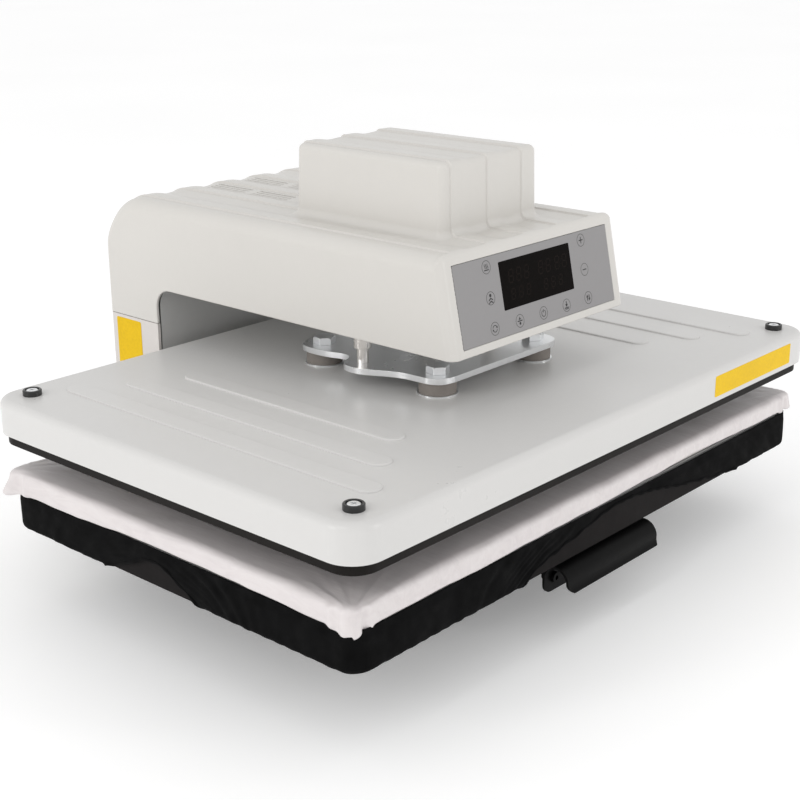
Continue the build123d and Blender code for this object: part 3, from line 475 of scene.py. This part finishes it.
def arm_outer(x, y, z):
    top = rmax(z - 306.5, y - 295.0, 45.0)
    m = sstep(-105.0, -100.5, y) * sstep(258.0, 284.0, z)
    top = top + flute(x, 2.3, 1.25) * m
    front = (-(y + 123.0) + LEAN * (z - 227.0)) / LN
    edge_r = 4.0 + 8.0 * sstep(252.0, 300.0, z)
    body = rmax(np.abs(x) - 115.5, top, edge_r)
    side = rmax(np.abs(x) - 115.5, front, 7.8)
    body = np.maximum(rmax(body, front, 4.2), side)
    draft = (z - 335.0) * 0.022
    face = np.maximum(-66.7 - y + draft, y - 97.5 + draft)
    plan = rmax(np.abs(x) - 61.5 + draft, face + flute(x, 1.25, 1.1), 6.0)
    hump = rmax(plan, z - 365.5 + flute(x, 1.8, 1.2), 5.0)
    hump = np.maximum(hump, 285.0 - z)
    return rmin(body, hump, 6.2)


def slot_field(x, y, xc, yc, half_l, half_w):
    dy = np.maximum(np.abs(y - yc) - (half_l - half_w), 0)
    return np.hypot(x - xc, dy) - half_w


def arm_field(x, y, z):
    t = arm_outer(x, y, z)
    g = np.maximum(t, -(t + 3.0))
    throat = rmax(y - 226.0, z - 227.0, 18.0)
    g = rmax(g, -throat, 0.9)
    g = rmax(g, 194.2 - z, 0.4)
    q = -(-(y + 123.0) + LEAN * (z - 227.0)) / LN
    v = ((y - PANEL_Y) * LEAN + (z - PANEL_Z)) / LN
    rec = np.maximum(np.maximum(np.abs(x) - 101.55, np.abs(v) - 32.5), q - 1.05)
    g = np.maximum(g, -rec)
    for xc in (-22.75, 22.75):
        for yc in (170.5, 227.0):
            for i in range(5):
                s = np.maximum(slot_field(x, y, xc - 9.6 + 4.8 * i, yc, 23.0, 1.0), 295.0 - z)
                g = rmax(g, -s, 0.25)
    return g


def build_arm():
    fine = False
    k = 1.6 if fine else 1.0
    lines = [LINE0 + PITCH * i for i in range(-2, 3)]
    base = np.concatenate([np.arange(-118.0, 118.01, 1.5 * k)])
    dense = np.concatenate([np.arange(l - 2.6, l + 1.0, 0.3 * k) for l in lines]
                           + [np.arange(s * 22.75 - 12.0, s * 22.75 + 12.0, 0.45 * k) for s in (-1, 1)]
                           + [np.arange(s * 101.5 - 1.2, s * 101.5 + 1.2, 0.5 * k) for s in (-1, 1)]
                           + [np.arange(-117.1, -107, 0.8 * k), np.arange(107, 117.4, 0.8 * k)]
                           + [np.arange(s * 61 - 4, s * 61 + 4, 0.8 * k) for s in (-1, 1)])
    X = np.unique(np.round(np.concatenate([base, dense]), 2))
    X = X[np.concatenate([[True], np.diff(X) > 0.2])]
    Y = axis_samples((-127, -98, 0.7 * k), (-98, -80, 1.4 * k), (-80, -54, 0.9 * k), (-54, 86, 3.0 * k), (86, 112, 1.1 * k), (112, 144, 2.4 * k),
                     (144, 151, 1.1), (151, 190, 2.4 * k), (190, 208, 1.1), (208, 246, 1.6 * k), (246, 254, 1.1), (254, 299, 1.4 * k))
    Z = axis_samples((191, 198, 0.9), (198, 224, 1.8 * k), (224, 236, 0.8 * k), (236, 294, 1.5 * k), (294, 318, 0.8 * k), (318, 354, 2.0 * k), (354, 368, 0.8 * k))
    F = arm_field(X[:, None, None].astype(np.float32), Y[None, :, None].astype(np.float32), Z[None, None, :].astype(np.float32))
    F = np.where(F == 0, 1e-4, F)
    V, Q = nets(F, X, Y, Z)
    V, N = settle(arm_field, V, 3, 0.7)
    ob = make("arm_cover_shell", V, Q, "stand", "cover_white", replaces=("arm_cover",), normals=N)
    return ob


build_arm()


# =============================================================================================
# key marks and display
# =============================================================================================
def on_panel(p, lift):
    """Panel coordinates (x, up-slope) to the working frame, lifted off the face."""
    p = np.asarray(p, float)
    out = np.zeros((len(p), 3))
    out[:, 0] = p[:, 0]
    out[:, 1] = PANEL_Y + p[:, 1] * LEAN / LN - lift / LN
    out[:, 2] = PANEL_Z + p[:, 1] / LN + lift * LEAN / LN
    return out


class Ink:
    def __init__(self):
        self.v, self.f = [], []

    def poly(self, pts):
        i = len(self.v)
        self.v += [tuple(p) for p in pts]
        self.f.append(list(range(i, i + len(pts))))

    def ring(self, cx, cy, r, w, a0=0.0, a1=360.0, n=48):
        n = max(4, int(n * abs(a1 - a0) / 360))
        for i in range(n):
            t0, t1 = (math.radians(a0 + (a1 - a0) * k / n) for k in (i, i + 1))
            self.poly([(cx + (r - w / 2) * math.cos(t0), cy + (r - w / 2) * math.sin(t0)),
                       (cx + (r + w / 2) * math.cos(t0), cy + (r + w / 2) * math.sin(t0)),
                       (cx + (r + w / 2) * math.cos(t1), cy + (r + w / 2) * math.sin(t1)),
                       (cx + (r - w / 2) * math.cos(t1), cy + (r - w / 2) * math.sin(t1))])

    def line(self, x0, y0, x1, y1, w):
        dx, dy = x1 - x0, y1 - y0
        n = math.hypot(dx, dy)
        nx, ny = -dy / n * w * 0.6, dx / n * w * 0.6
        self.poly([(x0 + nx, y0 + ny), (x0 - nx, y0 - ny), (x1 - nx, y1 - ny), (x1 + nx, y1 + ny)])

    def disc(self, cx, cy, r, n=20):
        self.poly([(cx + r * math.cos(2 * math.pi * i / n), cy + r * math.sin(2 * math.pi * i / n)) for i in range(n)])

    def wavy(self, cx, cy, h, amp, w, n=8):
        p = [(cx + amp * math.sin(2 * math.pi * i / n), cy - h / 2 + h * i / n) for i in range(n + 1)]
        for a, b in zip(p[:-1], p[1:]):
            self.line(*a, *b, w)


def up(z):
    return (z + 150.0 - PANEL_Z) * LN


def build_marks():
    ring, ink = Ink(), Ink()
    keys = {"heat": (-61.5, up(139.3)), "press": (-61.5, up(115.6)), "cycle": (-61.5, up(92.2)),
            "split": (-29.8, up(91.9)), "power": (1.6, up(91.9)), "down": (33.2, up(91.9)), "swap": (64.3, up(92.2)),
            "plus": (64.3, up(139.6)), "minus": (64.3, up(115.6))}
    for k, (x, y) in keys.items():
        ring.ring(x, y, 5.1, 0.42)
    x, y = keys["plus"]
    ink.line(x - 2.7, y, x + 2.7, y, 0.75)
    ink.line(x, y - 2.7, x, y + 2.7, 0.75)
    x, y = keys["minus"]
    ink.line(x - 2.5, y, x + 2.5, y, 0.75)
    x, y = keys["heat"]
    for dx in (-1.7, 0.0, 1.7):
        ink.wavy(x + dx, y + 0.6, 3.6, 0.45, 0.5)
    ink.line(x - 2.9, y - 2.3, x + 2.9, y - 2.3, 0.65)
    x, y = keys["press"]
    ink.disc(x, y + 2.2, 1.35)
    for dy in (0.55, -1.7):
        ink.poly([(x, y + dy), (x + 2.6, y + dy - 1.7), (x + 2.6, y + dy - 2.7), (x, y + dy - 1.15), (x - 2.6, y + dy - 2.7), (x - 2.6, y + dy - 1.7)])
    x, y = keys["cycle"]
    ink.ring(x, y, 2.6, 0.6, 30, 165)
    ink.ring(x, y, 2.6, 0.6, 210, 345)
    for a in (30, 210):
        t = math.radians(a)
        px, py = x + 2.6 * math.cos(t), y + 2.6 * math.sin(t)
        tx, ty = math.sin(t), -math.cos(t)
        nx, ny = math.cos(t), math.sin(t)
        ink.poly([(px + nx * 1.1, py + ny * 1.1), (px - nx * 1.1, py - ny * 1.1), (px + tx * 1.6, py + ty * 1.6)])
    x, y = keys["split"]
    ink.poly([(x - 1.5, y + 1.0), (x + 1.5, y + 1.0), (x, y + 3.3)])
    ink.line(x - 3.1, y, x + 3.1, y, 0.7)
    ink.disc(x, y - 2.0, 1.15)
    x, y = keys["power"]
    ink.ring(x, y - 0.2, 2.6, 0.6, 118, 422)
    ink.line(x, y + 0.4, x, y + 3.0, 0.6)
    x, y = keys["down"]
    ink.line(x, y + 3.4, x, y + 0.6, 0.8)
    ink.poly([(x - 1.7, y + 1.0), (x, y - 1.5), (x + 1.7, y + 1.0)])
    ink.line(x - 3.0, y - 2.0, x + 3.0, y - 2.0, 0.65)
    ink.line(x - 2.2, y - 3.0, x + 2.2, y - 3.0, 0.55)
    x, y = keys["swap"]
    ink.line(x - 1.2, y - 2.4, x - 1.2, y + 0.9, 0.85)
    ink.poly([(x - 2.7, y + 0.5), (x - 1.2, y + 2.8), (x + 0.2, y + 0.5)])
    ink.line(x + 1.4, y + 2.4, x + 1.4, y - 0.9, 0.85)
    ink.poly([(x - 0.1, y - 0.5), (x + 1.4, y - 2.8), (x + 2.9, y - 0.5)])
    make("key_rings", on_panel(ring.v, 0.05), ring.f, "stand", "panel_grey", mats["ink_grey"], smooth=False)
    make("key_marks", on_panel(ink.v, 0.07), ink.f, "stand", "panel_grey", mats["ink_black"], smooth=False)

    seg = Ink()

    def digit(cx, cy, w, h, t):
        s = 0.12 * h
        for (x0, y0, x1, y1) in ((-w / 2, h / 2, w / 2, h / 2), (-w / 2, 0, w / 2, 0), (-w / 2, -h / 2, w / 2, -h / 2)):
            seg.line(cx + x0 + t * 0.7 + s * (y0 / h), cy + y0, cx + x1 - t * 0.7 + s * (y1 / h), cy + y1, t)
        for sx in (-1, 1):
            for y0, y1 in ((0, h / 2), (-h / 2, 0)):
                seg.line(cx + sx * w / 2 + s * (y0 / h), cy + y0 + t * 0.7, cx + sx * w / 2 + s * (y1 / h), cy + y1 - t * 0.7, t)
    for i, cx in enumerate((-33, -23, -13, 6, 16, 28, 38)):
        digit(cx, 12.6, 5.4, 10.0, 0.9)
    for cx in (-33, -23, -13, 10, 20, 30):
        digit(cx, -1.6, 4.6, 8.2, 0.8)
    for x in (11.2, 33.2):
        seg.disc(x, 14.6, 0.5)
        seg.disc(x, 10.6, 0.5)
    make("display_digits", on_panel(seg.v, 0.03), seg.f, "stand", "display_dark", mats["unlit_segments"], smooth=False)


build_marks()


# =============================================================================================
# soft parts of the drawer
# =============================================================================================
def rrect(s, hx, hy, r):
    """Point and outward normal on a rounded rectangle at arc length s from the middle of the front side, going to +x."""
    segs = []
    lx, ly, q = 2 * (hx - r), 2 * (hy - r), math.pi * r / 2
    total = 2 * lx + 2 * ly + 4 * q
    s = (s + lx / 2) % total
    for kind, x0, y0, dx, dy, ln in (("l", -lx / 2, -hy, 1, 0, lx), ("c", hx - r, -hy + r, -90, 0, q), ("l", hx, -ly / 2, 0, 1, ly), ("c", hx - r, hy - r, 0, 0, q),
                                     ("l", lx / 2, hy, -1, 0, lx), ("c", -hx + r, hy - r, 90, 0, q), ("l", -hx, ly / 2, 0, -1, ly), ("c", -hx + r, -hy + r, 180, 0, q)):
        if s <= ln:
            if kind == "l":
                n = {(1, 0): (0, -1), (0, 1): (1, 0), (-1, 0): (0, 1), (0, -1): (-1, 0)}[(dx, dy)]
                return x0 + dx * s, y0 + dy * s, n[0], n[1]
            a = math.radians(dx) + s / r
            return x0 + r * math.cos(a), y0 + r * math.sin(a), math.cos(a), math.sin(a)
        s -= ln
    return x0, y0, 1.0, 0.0


def perimeter(hx, hy, r):
    return 4 * (hx - r) + 4 * (hy - r) + 2 * math.pi * r


rng = np.random.RandomState(7)


def fold_noise(n, lo, hi, seed):
    """Periodic smooth noise on n samples, wave numbers lo..hi."""
    r = np.random.RandomState(seed)
    t = np.arange(n) * 2 * math.pi / n
    out = np.zeros(n)
    for k in range(lo, hi):
        out += r.normal() / math.sqrt(hi - lo) * np.cos(k * t + r.uniform(0, 2 * math.pi))
    return out


def build_pad():
    # foam slab: slightly crowned, its own closed skin
    def foam(x, y, z):
        crown = 0.5 * np.clip(1 - (x / 300.0) ** 2, 0, 1) * np.clip(1 - (y / 190.0) ** 2, 0, 1)
        side = rmax(np.abs(x) - 298.6, np.abs(y) - 189.9, 9.5)
        return rmax(rmax(side, z - 115.4 - crown, 5.0), 99.62 - z, 1.5)
    X = axis_samples((-302, -280, 1.8), (-280, 280, 9.0), (280, 302, 1.8))
    Y = axis_samples((-194, -172, 1.8), (-172, 172, 9.0), (172, 194, 1.8))
    Z = axis_samples((98, 118.4, 1.2))
    F = foam(X[:, None, None], Y[None, :, None], Z[None, None, :])
    V, Q = nets(F, X, Y, Z)
    V, N = settle(foam, V, 2, 0.8)
    pad = make("foam_slab", V, Q, "drawer", "foam_white", replaces=("foam_pad",))

    # the white cover
    def cover(x, y, z):
        side = rmax(np.abs(x) - 302.6, np.abs(y) - 193.6, 10.5)
        return rmax(rmax(side, z - 117.6, 6.0), 98.6 - z, 2.2)
    X = axis_samples((-306, -230, 1.7), (-230, 230, 4.0), (230, 306, 1.7))
    Y = axis_samples((-197, -130, 1.7), (-130, 130, 4.0), (130, 197, 1.7))
    Z = axis_samples((96.6, 120, 1.1))
    F = cover(X[:, None, None], Y[None, :, None], Z[None, None, :])
    V, Q = nets(F, X, Y, Z)
    V, N = settle(cover, V, 3, 0.9)
    # open below: keep a narrow turned-in edge
    inner = np.maximum(np.abs(V[:, 0]) - 296.5, np.abs(V[:, 1]) - 187.5) < 0
    low = V[:, 2] < 100.5
    drop = inner & low
    keep = ~drop[Q].any(1)
    Q = Q[keep]
    used = np.unique(Q)
    remap = np.full(len(V), -1)
    remap[used] = np.arange(len(used))
    V, N, Q = V[used], N[used], remap[Q]
    x, y, z = V.T.copy()
    disp = np.zeros(len(V))
    push = np.zeros((len(V), 3))
    top = sstep(113.0, 117.4, z)
    side = 1 - sstep(110.0, 117.0, z)
    low = 1 - sstep(99.0, 112.0, z)
    for sx, sy, ph, ear, hang in ((-1, -1, 0.3, 1.2, 4.3), (1, -1, 1.7, 3.5, 0.5), (-1, 1, 2.9, 13.0, 2.6), (1, 1, 4.1, 4.0, 1.0)):
        # distance from the corner along each side
        ax, ay = (302.6 - x * sx), (193.6 - y * sy)
        r = np.hypot(ax, ay)
        # pulled lines fan in from the corner over the top
        th = np.arctan2(ay, ax)
        fan = np.sin(th * 19 + ph + 0.8 * np.sin(r / 17.0)) + 0.6 * np.sin(th * 34 + 2.1 * ph + 0.5 * np.sin(r / 9.0))
        disp += top * np.exp(-(r / 58.0) ** 2) * sstep(3, 20, r) * 0.55 * np.where(fan > 0, fan, 0.45 * fan)
        # ear: the corner is pulled out to a point, with a tuck on each side of it
        e = np.exp(-(r / 13.0) ** 2)
        d = np.array([sx * 0.72, sy * 0.69, 0.0])
        push += (e * ear * (0.35 + 0.65 * low))[:, None] * d
        tuck = np.exp(-((ax - 13.0) / 3.0) ** 2) * (ay < 8) + np.exp(-((ay - 15.0) / 3.2) ** 2) * (ax < 8)
        disp -= side * tuck * 1.7
        roll = np.exp(-((ax - 18.5) / 3.0) ** 2) * (ay < 8) + np.exp(-((ay - 21.0) / 3.4) ** 2) * (ax < 8)
        disp += side * roll * 1.0
        n1 = np.where(ay < ax, ax, -ay)
        pleat = np.sin(n1 / 3.1 + ph) + 0.7 * np.sin(n1 / 1.75 + 2 * ph)
        disp += side * np.exp(-(r / 24.0) ** 2) * 0.36 * pleat
        flap = np.exp(-(np.maximum(np.abs(n1 - 0.5) - 14.0, 0) / 5.0) ** 2) * (r < 50)
        push[:, 2] -= flap * hang * low * (1.0 + 0.07 * np.sin(n1 / 2.3 + ph))
        # fine gathers just along the sides next to the corner
        run = np.exp(-(r / 95.0) ** 2) * side
        disp += run * 0.22 * np.sin(n1 / 4.2 + 1.3 * np.sin(n1 / 17.0) + ph)
    # long shallow swells along the sides, and the lower edge rising and falling
    front = np.abs(x) / 302.6 < np.abs(y) / 193.6
    a = np.where(front, x, y)
    disp += side * 0.30 * (np.sin(a / 31.0 + 0.7) + 0.6 * np.sin(a / 13.0 + 2.0) + 0.30 * np.sin(a / 5.3 + 0.2 * z))
    edge = np.where(front & (y < 0), np.interp(x, [-300, -200, -60, 40, 120, 220, 300], [-0.5, 0.0, 0.6, 2.6, 4.2, 2.6, 0.5]),
                    np.where(~front & (x < 0), np.interp(y, [-190, -90, 0, 60, 120, 190], [0.3, 1.2, 3.0, 1.6, -2.2, -1.0]), 0.8))
    push[:, 2] += low * (edge + 0.22 * np.sin(a / 19.0) + 0.12 * np.sin(a / 6.6 + 1.0))
    # top: slack left by the loose cover, streaks running inward from the long edges, a few crossing creases
    s1 = np.sin((x + 0.35 * y) / 21.0 + 1.7 * np.sin(y / 47.0)) * np.exp(-((np.abs(y) - 170.0) / 60.0) ** 2)
    s2 = np.sin((y - 0.3 * x) / 17.0 + 1.5 * np.sin(x / 39.0)) * np.exp(-((np.abs(x) - 280.0) / 60.0) ** 2)
    s3 = np.sin((x * 0.8 + y * 0.6) / 8.5 + 2.0 * np.sin((y - x) / 63.0)) * np.sin(x / 53.0 + 0.5) * np.sin(y / 41.0)
    s4 = np.sin((y * 0.9 - x * 0.25) / 4.2 + 2.2 * np.sin(x / 71.0 + 0.4)) * np.clip(np.sin(x / 37.0 + 1.3 * np.sin(y / 29.0)), 0, 1) ** 2
    s5 = np.sin((x * 0.9 + y * 0.35) / 4.6 + 2.4 * np.sin(y / 57.0)) * np.clip(np.sin(y / 33.0 + 1.1 * np.sin(x / 43.0) + 1.0), 0, 1) ** 2
    disp += top * (-0.55 + 0.30 * s1 + 0.30 * s2 + 0.20 * s3 + 0.20 * s4 + 0.20 * s5)
    V = V + N * disp[:, None] + push
    V[:, 2] = np.minimum(V[:, 2], 118.0)
    cover_ob = make("pad_cloth", V, Q, "drawer", "cloth_white", replaces=("pad_cover",))
    s = cover_ob.modifiers.new("thick", "SOLIDIFY")
    s.thickness = 0.0004
    s.offset = -1.0
    return cover_ob


build_pad()


def build_skirt():
    hx, hy, r = 299.6, 192.6, 14.5
    P = perimeter(hx, hy, r)
    n = 760
    m = 30
    S = np.arange(n) * P / n
    pts = np.array([rrect(s, hx, hy, r) for s in S])
    # hem height (table height of the lower edge) round the tray: low at the corners, pulled up along the sides
    hem = np.zeros(n)
    for i, (px, py, nx, ny) in enumerate(pts):
        if ny < -0.7:      # front
            h = np.interp(px, [-300, -140, -122, -105, -56, -15, 10, 24, 58, 107, 141, 167, 205, 232, 300], [50, 50, 64, 76, 85.5, 92.5, 95, 94.5, 91.5, 81, 76, 72, 68, 56, 50])
        elif nx < -0.7:    # left
            h = np.interp(py, [-192, -52, -36, -21, -8, 1, 12.5, 25, 37, 50, 63, 76, 90, 192], [50, 52, 68, 76, 83, 87.5, 90.7, 86, 81, 75.5, 70, 67, 56, 50])
        elif nx > 0.7:     # right
            h = np.interp(py, [-192, -80, -50, -5, 25, 60, 85, 192], [50, 52, 68, 88, 91, 80, 60, 50])
        elif ny > 0.7:     # rear
            h = np.interp(px, [-300, -130, -60, 0, 50, 110, 140, 300], [50, 50, 80, 90, 88, 74, 52, 50])
        else:
            h = 50.0
        hem[i] = h
    ker = np.exp(-np.linspace(-2, 2, 15) ** 2)
    ker /= ker.sum()
    hem = np.convolve(np.concatenate([hem[-7:], hem, hem[:7]]), ker, "valid")
    hem += 0.45 * fold_noise(n, 40, 120, 3)
    # the path down the wall and under the tray: length from the top
    z_top, z_bot = 99.0, 66.3
    wall = z_top - z_bot
    lengths = np.where(hem > z_bot, z_top - hem, wall + (z_bot - hem) * 1.0)
    lengths = np.clip(lengths, 4.0, wall + 15.0)
    gather = fold_noise(n, 70, 170, 5)
    swell = fold_noise(n, 8, 26, 11)
    verts = np.zeros((n, m, 3))
    t = np.linspace(0, 1, m)
    for i in range(n):
        px, py, nx, ny = pts[i]
        L = t * lengths[i]
        for j in range(m):
            l = L[j]
            k = l / wall
            if l <= wall - 3.0:
                z, inn = z_top - l, 0.0
            else:
                q = (l - (wall - 3.0))
                if q < 4.7:
                    a = q / 3.0
                    z, inn = z_bot + 3.0 - 3.0 * math.sin(a), 3.0 - 3.0 * math.cos(a)
                else:
                    z, inn = z_bot - 0.0, 3.0 + (q - 4.7)
            verts[i, j] = (l, z, inn)
    # wrinkles run slantwise from the low corners up to the pulled-up middles
    grad = np.gradient(np.convolve(np.concatenate([hem[-20:], hem, hem[:20]]), np.ones(41) / 41, "valid"))
    lean = np.clip(grad * 14.0, -14.0, 14.0)
    idx = np.arange(n)
    wr1, wr2 = fold_noise(n, 40, 90, 21), fold_noise(n, 90, 190, 23)
    out = np.zeros((n, m, 3))
    calm = 0.16 + 0.64 * np.clip(np.abs(lean) / 9.0, 0, 1)
    calm = np.convolve(np.concatenate([calm[-20:], calm, calm[:20]]), np.ones(41) / 41, "valid")
    for j in range(m):
        shift = lean * (verts[:, j, 0] / wall) * 2.2
        w = np.interp((idx + shift) % n, idx, wr1, period=n) * 0.75 + np.interp((idx + shift * 1.2) % n, idx, wr2, period=n) * 0.35
        fade = np.minimum(1.0, verts[:, j, 0] / 8.0)
        under = sstep(wall - 2.0, wall + 2.0, verts[:, j, 0])
        off = 0.9 + fade * (1.15 + calm * np.tanh(w)) * (1 - 0.5 * under) + 0.35 * swell * fade * (1 - under)
        off = np.clip(off, 0.7, 3.2)
        zz = verts[:, j, 1] - under * (0.6 + 0.5 * np.clip(gather, -1, 1))
        out[:, j, 0] = pts[:, 0] + pts[:, 2] * (off - verts[:, j, 2])
        out[:, j, 1] = pts[:, 1] + pts[:, 3] * (off - verts[:, j, 2])
        out[:, j, 2] = zz
    V = out.reshape(-1, 3)
    F = [[i * m + j, i * m + j + 1, ((i + 1) % n) * m + j + 1, ((i + 1) % n) * m + j] for i in range(n) for j in range(m - 1)]
    ob = make("skirt_cloth", V, F, "drawer", "cloth_black", replaces=("pad_skirt",))
    s = ob.modifiers.new("thick", "SOLIDIFY")
    s.thickness = 0.0005
    s.offset = 0.0
    # elastic in the hem: a soft tube that follows the lower edge
    c = out[:, -1].copy()
    tube, k = [], 8
    nxt, prv = np.roll(c, -1, 0), np.roll(c, 1, 0)
    T = nxt - prv
    T /= np.linalg.norm(T, axis=1)[:, None]
    A = np.stack([pts[:, 2], pts[:, 3], np.zeros(n)], -1)
    B = np.cross(T, A)
    for i in range(n):
        rr = 1.15 + 0.22 * gather[i]
        for q in range(k):
            a = 2 * math.pi * q / k
            tube.append(c[i] + (A[i] * math.cos(a) * 0.8 + B[i] * math.sin(a) * 1.25) * rr)
    TF = [[i * k + q, i * k + (q + 1) % k, ((i + 1) % n) * k + (q + 1) % k, ((i + 1) % n) * k + q] for i in range(n) for q in range(k)]
    hemo = make("skirt_hem", np.array(tube), TF, "drawer", "cloth_black")


build_skirt()


# =============================================================================================
# finish of the carried-over nodes
# =============================================================================================
slot_of = {s["node"]: s["material_slot"] for s in frame["record"]["subparts"]}
for name, ob in nodes.items():
    if ob.hide_render:
        continue
    m = mats[slot_of[name]]
    if not ob.material_slots:
        ob.data.materials.append(m)
    for s in ob.material_slots:
        s.link = "OBJECT"
        s.material = m


def rebuilt(node, width, angle=32.0, segments=2, slot=None, name=None, mat=None, weld=1e-5):
    """A copy of a CAD node with its sharp edges broken, as the real edge is."""
    src = nodes[node]
    bm = bmesh.new()
    bm.from_mesh(src.data)
    bmesh.ops.remove_doubles(bm, verts=bm.verts, dist=weld)
    bmesh.ops.dissolve_limit(bm, angle_limit=math.radians(0.6), verts=bm.verts, edges=bm.edges)
    es = [e for e in bm.edges if len(e.link_faces) == 2 and e.calc_face_angle(0) > math.radians(angle)]
    bmesh.ops.bevel(bm, geom=es, offset=width, segments=segments, profile=0.6, affect="EDGES", clamp_overlap=True, offset_type="OFFSET")
    me = bpy.data.meshes.new((name or node) + "_mesh")
    bm.to_mesh(me)
    bm.free()
    me.polygons.foreach_set("use_smooth", np.full(len(me.polygons), True))
    me.set_sharp_from_angle(angle=math.radians(38))
    ob = bpy.data.objects.new(name or node + "_edged", me)
    bpy.context.scene.collection.objects.link(ob)
    me.materials.append(mat or mats[slot or slot_of[node]])
    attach(ob, body_name[node])
    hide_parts(node)
    w = ob.modifiers.new("wn", "WEIGHTED_NORMAL")
    w.keep_sharp = True
    return ob


body_name = {n: b for b, ns in frame["record"]["behaviour"]["bodies"].items() for n in ns}

for n, w in (("hex_bolts", 0.0003), ("pull_handle", 0.0005), ("handle_bracket", 0.0005), ("drawer_tray", 0.0006),
             ("insulating_spacers", 0.0004), ("edge_band", 0.0005), ("underside_pan", 0.0003), ("guide_bushes", 0.0004), ("column_cover", 0.0005),
             ("rear_panel", 0.0003), ("power_inlet", 0.0004), ("switch_housing", 0.0004), ("power_rocker", 0.0006), ("base_frame", 0.0005), ("lower_platen", 0.0005)):
    rebuilt(n, w)


# =============================================================================================
# stage, light and camera
# =============================================================================================
def floor():
    me = bpy.data.meshes.new("floor_mesh")
    s = 30.0
    me.from_pydata([(-s, -s, -0.0003), (s, -s, -0.0003), (s, s, -0.0003), (-s, s, -0.0003)], [], [(0, 1, 2, 3)])
    ob = bpy.data.objects.new("floor", me)
    bpy.context.scene.collection.objects.link(ob)
    m = Mat("floor_white")
    m.set(Base_Color=m.ramp(m.noise(1.5, 3.0), [(0.3, (0.93, 0.93, 0.93)), (0.7, (0.95, 0.95, 0.95))]))
    m.set(Roughness=m.rng(m.noise(4.0), 0.3, 0.7, 0.8, 0.9))
    m.b.inputs["Specular IOR Level"].default_value = 0.1
    m.b.inputs["Emission Color"].default_value = (1.0, 1.0, 1.0, 1.0)
    m.b.inputs["Emission Strength"].default_value = 0.19
    me.materials.append(m.m)


floor()
scene = bpy.context.scene
world = bpy.data.worlds.new("studio")
scene.world = world
world.use_nodes = True
wt = world.node_tree
bg = wt.nodes["Background"]
bg.inputs["Color"].default_value = (1.0, 1.0, 1.0, 1.0)
bg.inputs["Strength"].default_value = 0.84


def area(name, loc, target, size, power, color=(1, 1, 1), size_y=None):
    ld = bpy.data.lights.new(name, "AREA")
    ld.shape = "RECTANGLE"
    ld.size = size
    ld.size_y = size_y or size
    ld.energy = power
    ld.color = color
    ob = bpy.data.objects.new(name, ld)
    scene.collection.objects.link(ob)
    ob.location = loc
    ob.rotation_mode = "QUATERNION"
    ob.rotation_quaternion = (Vector(target) - Vector(loc)).to_track_quat("-Z", "Y")
    return ob


def softbox(name, azimuth, elevation, dist, w, h, power):
    a, e = math.radians(azimuth), math.radians(elevation)
    loc = (dist * math.cos(a) * math.cos(e), dist * math.sin(a) * math.cos(e), 0.25 + dist * math.sin(e))
    return area(name, loc, (0, 0, 0.22), w, power, (1.0, 0.995, 0.985), h)


softbox("softbox_left", 166, 16, 2.6, 0.45, 1.3, 10.5)
softbox("strip_left", 190, 34, 2.6, 0.09, 1.0, 4.5)
softbox("softbox_front", -70, 16, 2.6, 0.45, 1.3, 8.5)

cam_d = bpy.data.cameras.new("camera")
cam = bpy.data.objects.new("camera", cam_d)
scene.collection.objects.link(cam)
yaw, pitch, roll = math.radians(48.23), math.radians(18.72), math.radians(-0.23)
fwd = Vector((math.sin(yaw) * math.cos(pitch), math.cos(yaw) * math.cos(pitch), -math.sin(pitch)))
right = fwd.cross(Vector((0, 0, 1))).normalized()
upv = right.cross(fwd)
r2 = right * math.cos(roll) + upv * math.sin(roll)
u2 = -right * math.sin(roll) + upv * math.cos(roll)
cam.rotation_mode = "QUATERNION"
cam.rotation_quaternion = Matrix((r2, u2, -fwd)).transposed().to_quaternion()
cam.location = (-0.9057, -0.7749 + YS * 0.001, 0.5456)
cam_d.sensor_width = 36.0
cam_d.lens = 64.44
cam_d.clip_start, cam_d.clip_end = 0.02, 100.0
scene.camera = cam
scene.view_settings.view_transform = "Standard"
scene.view_settings.look = "None"
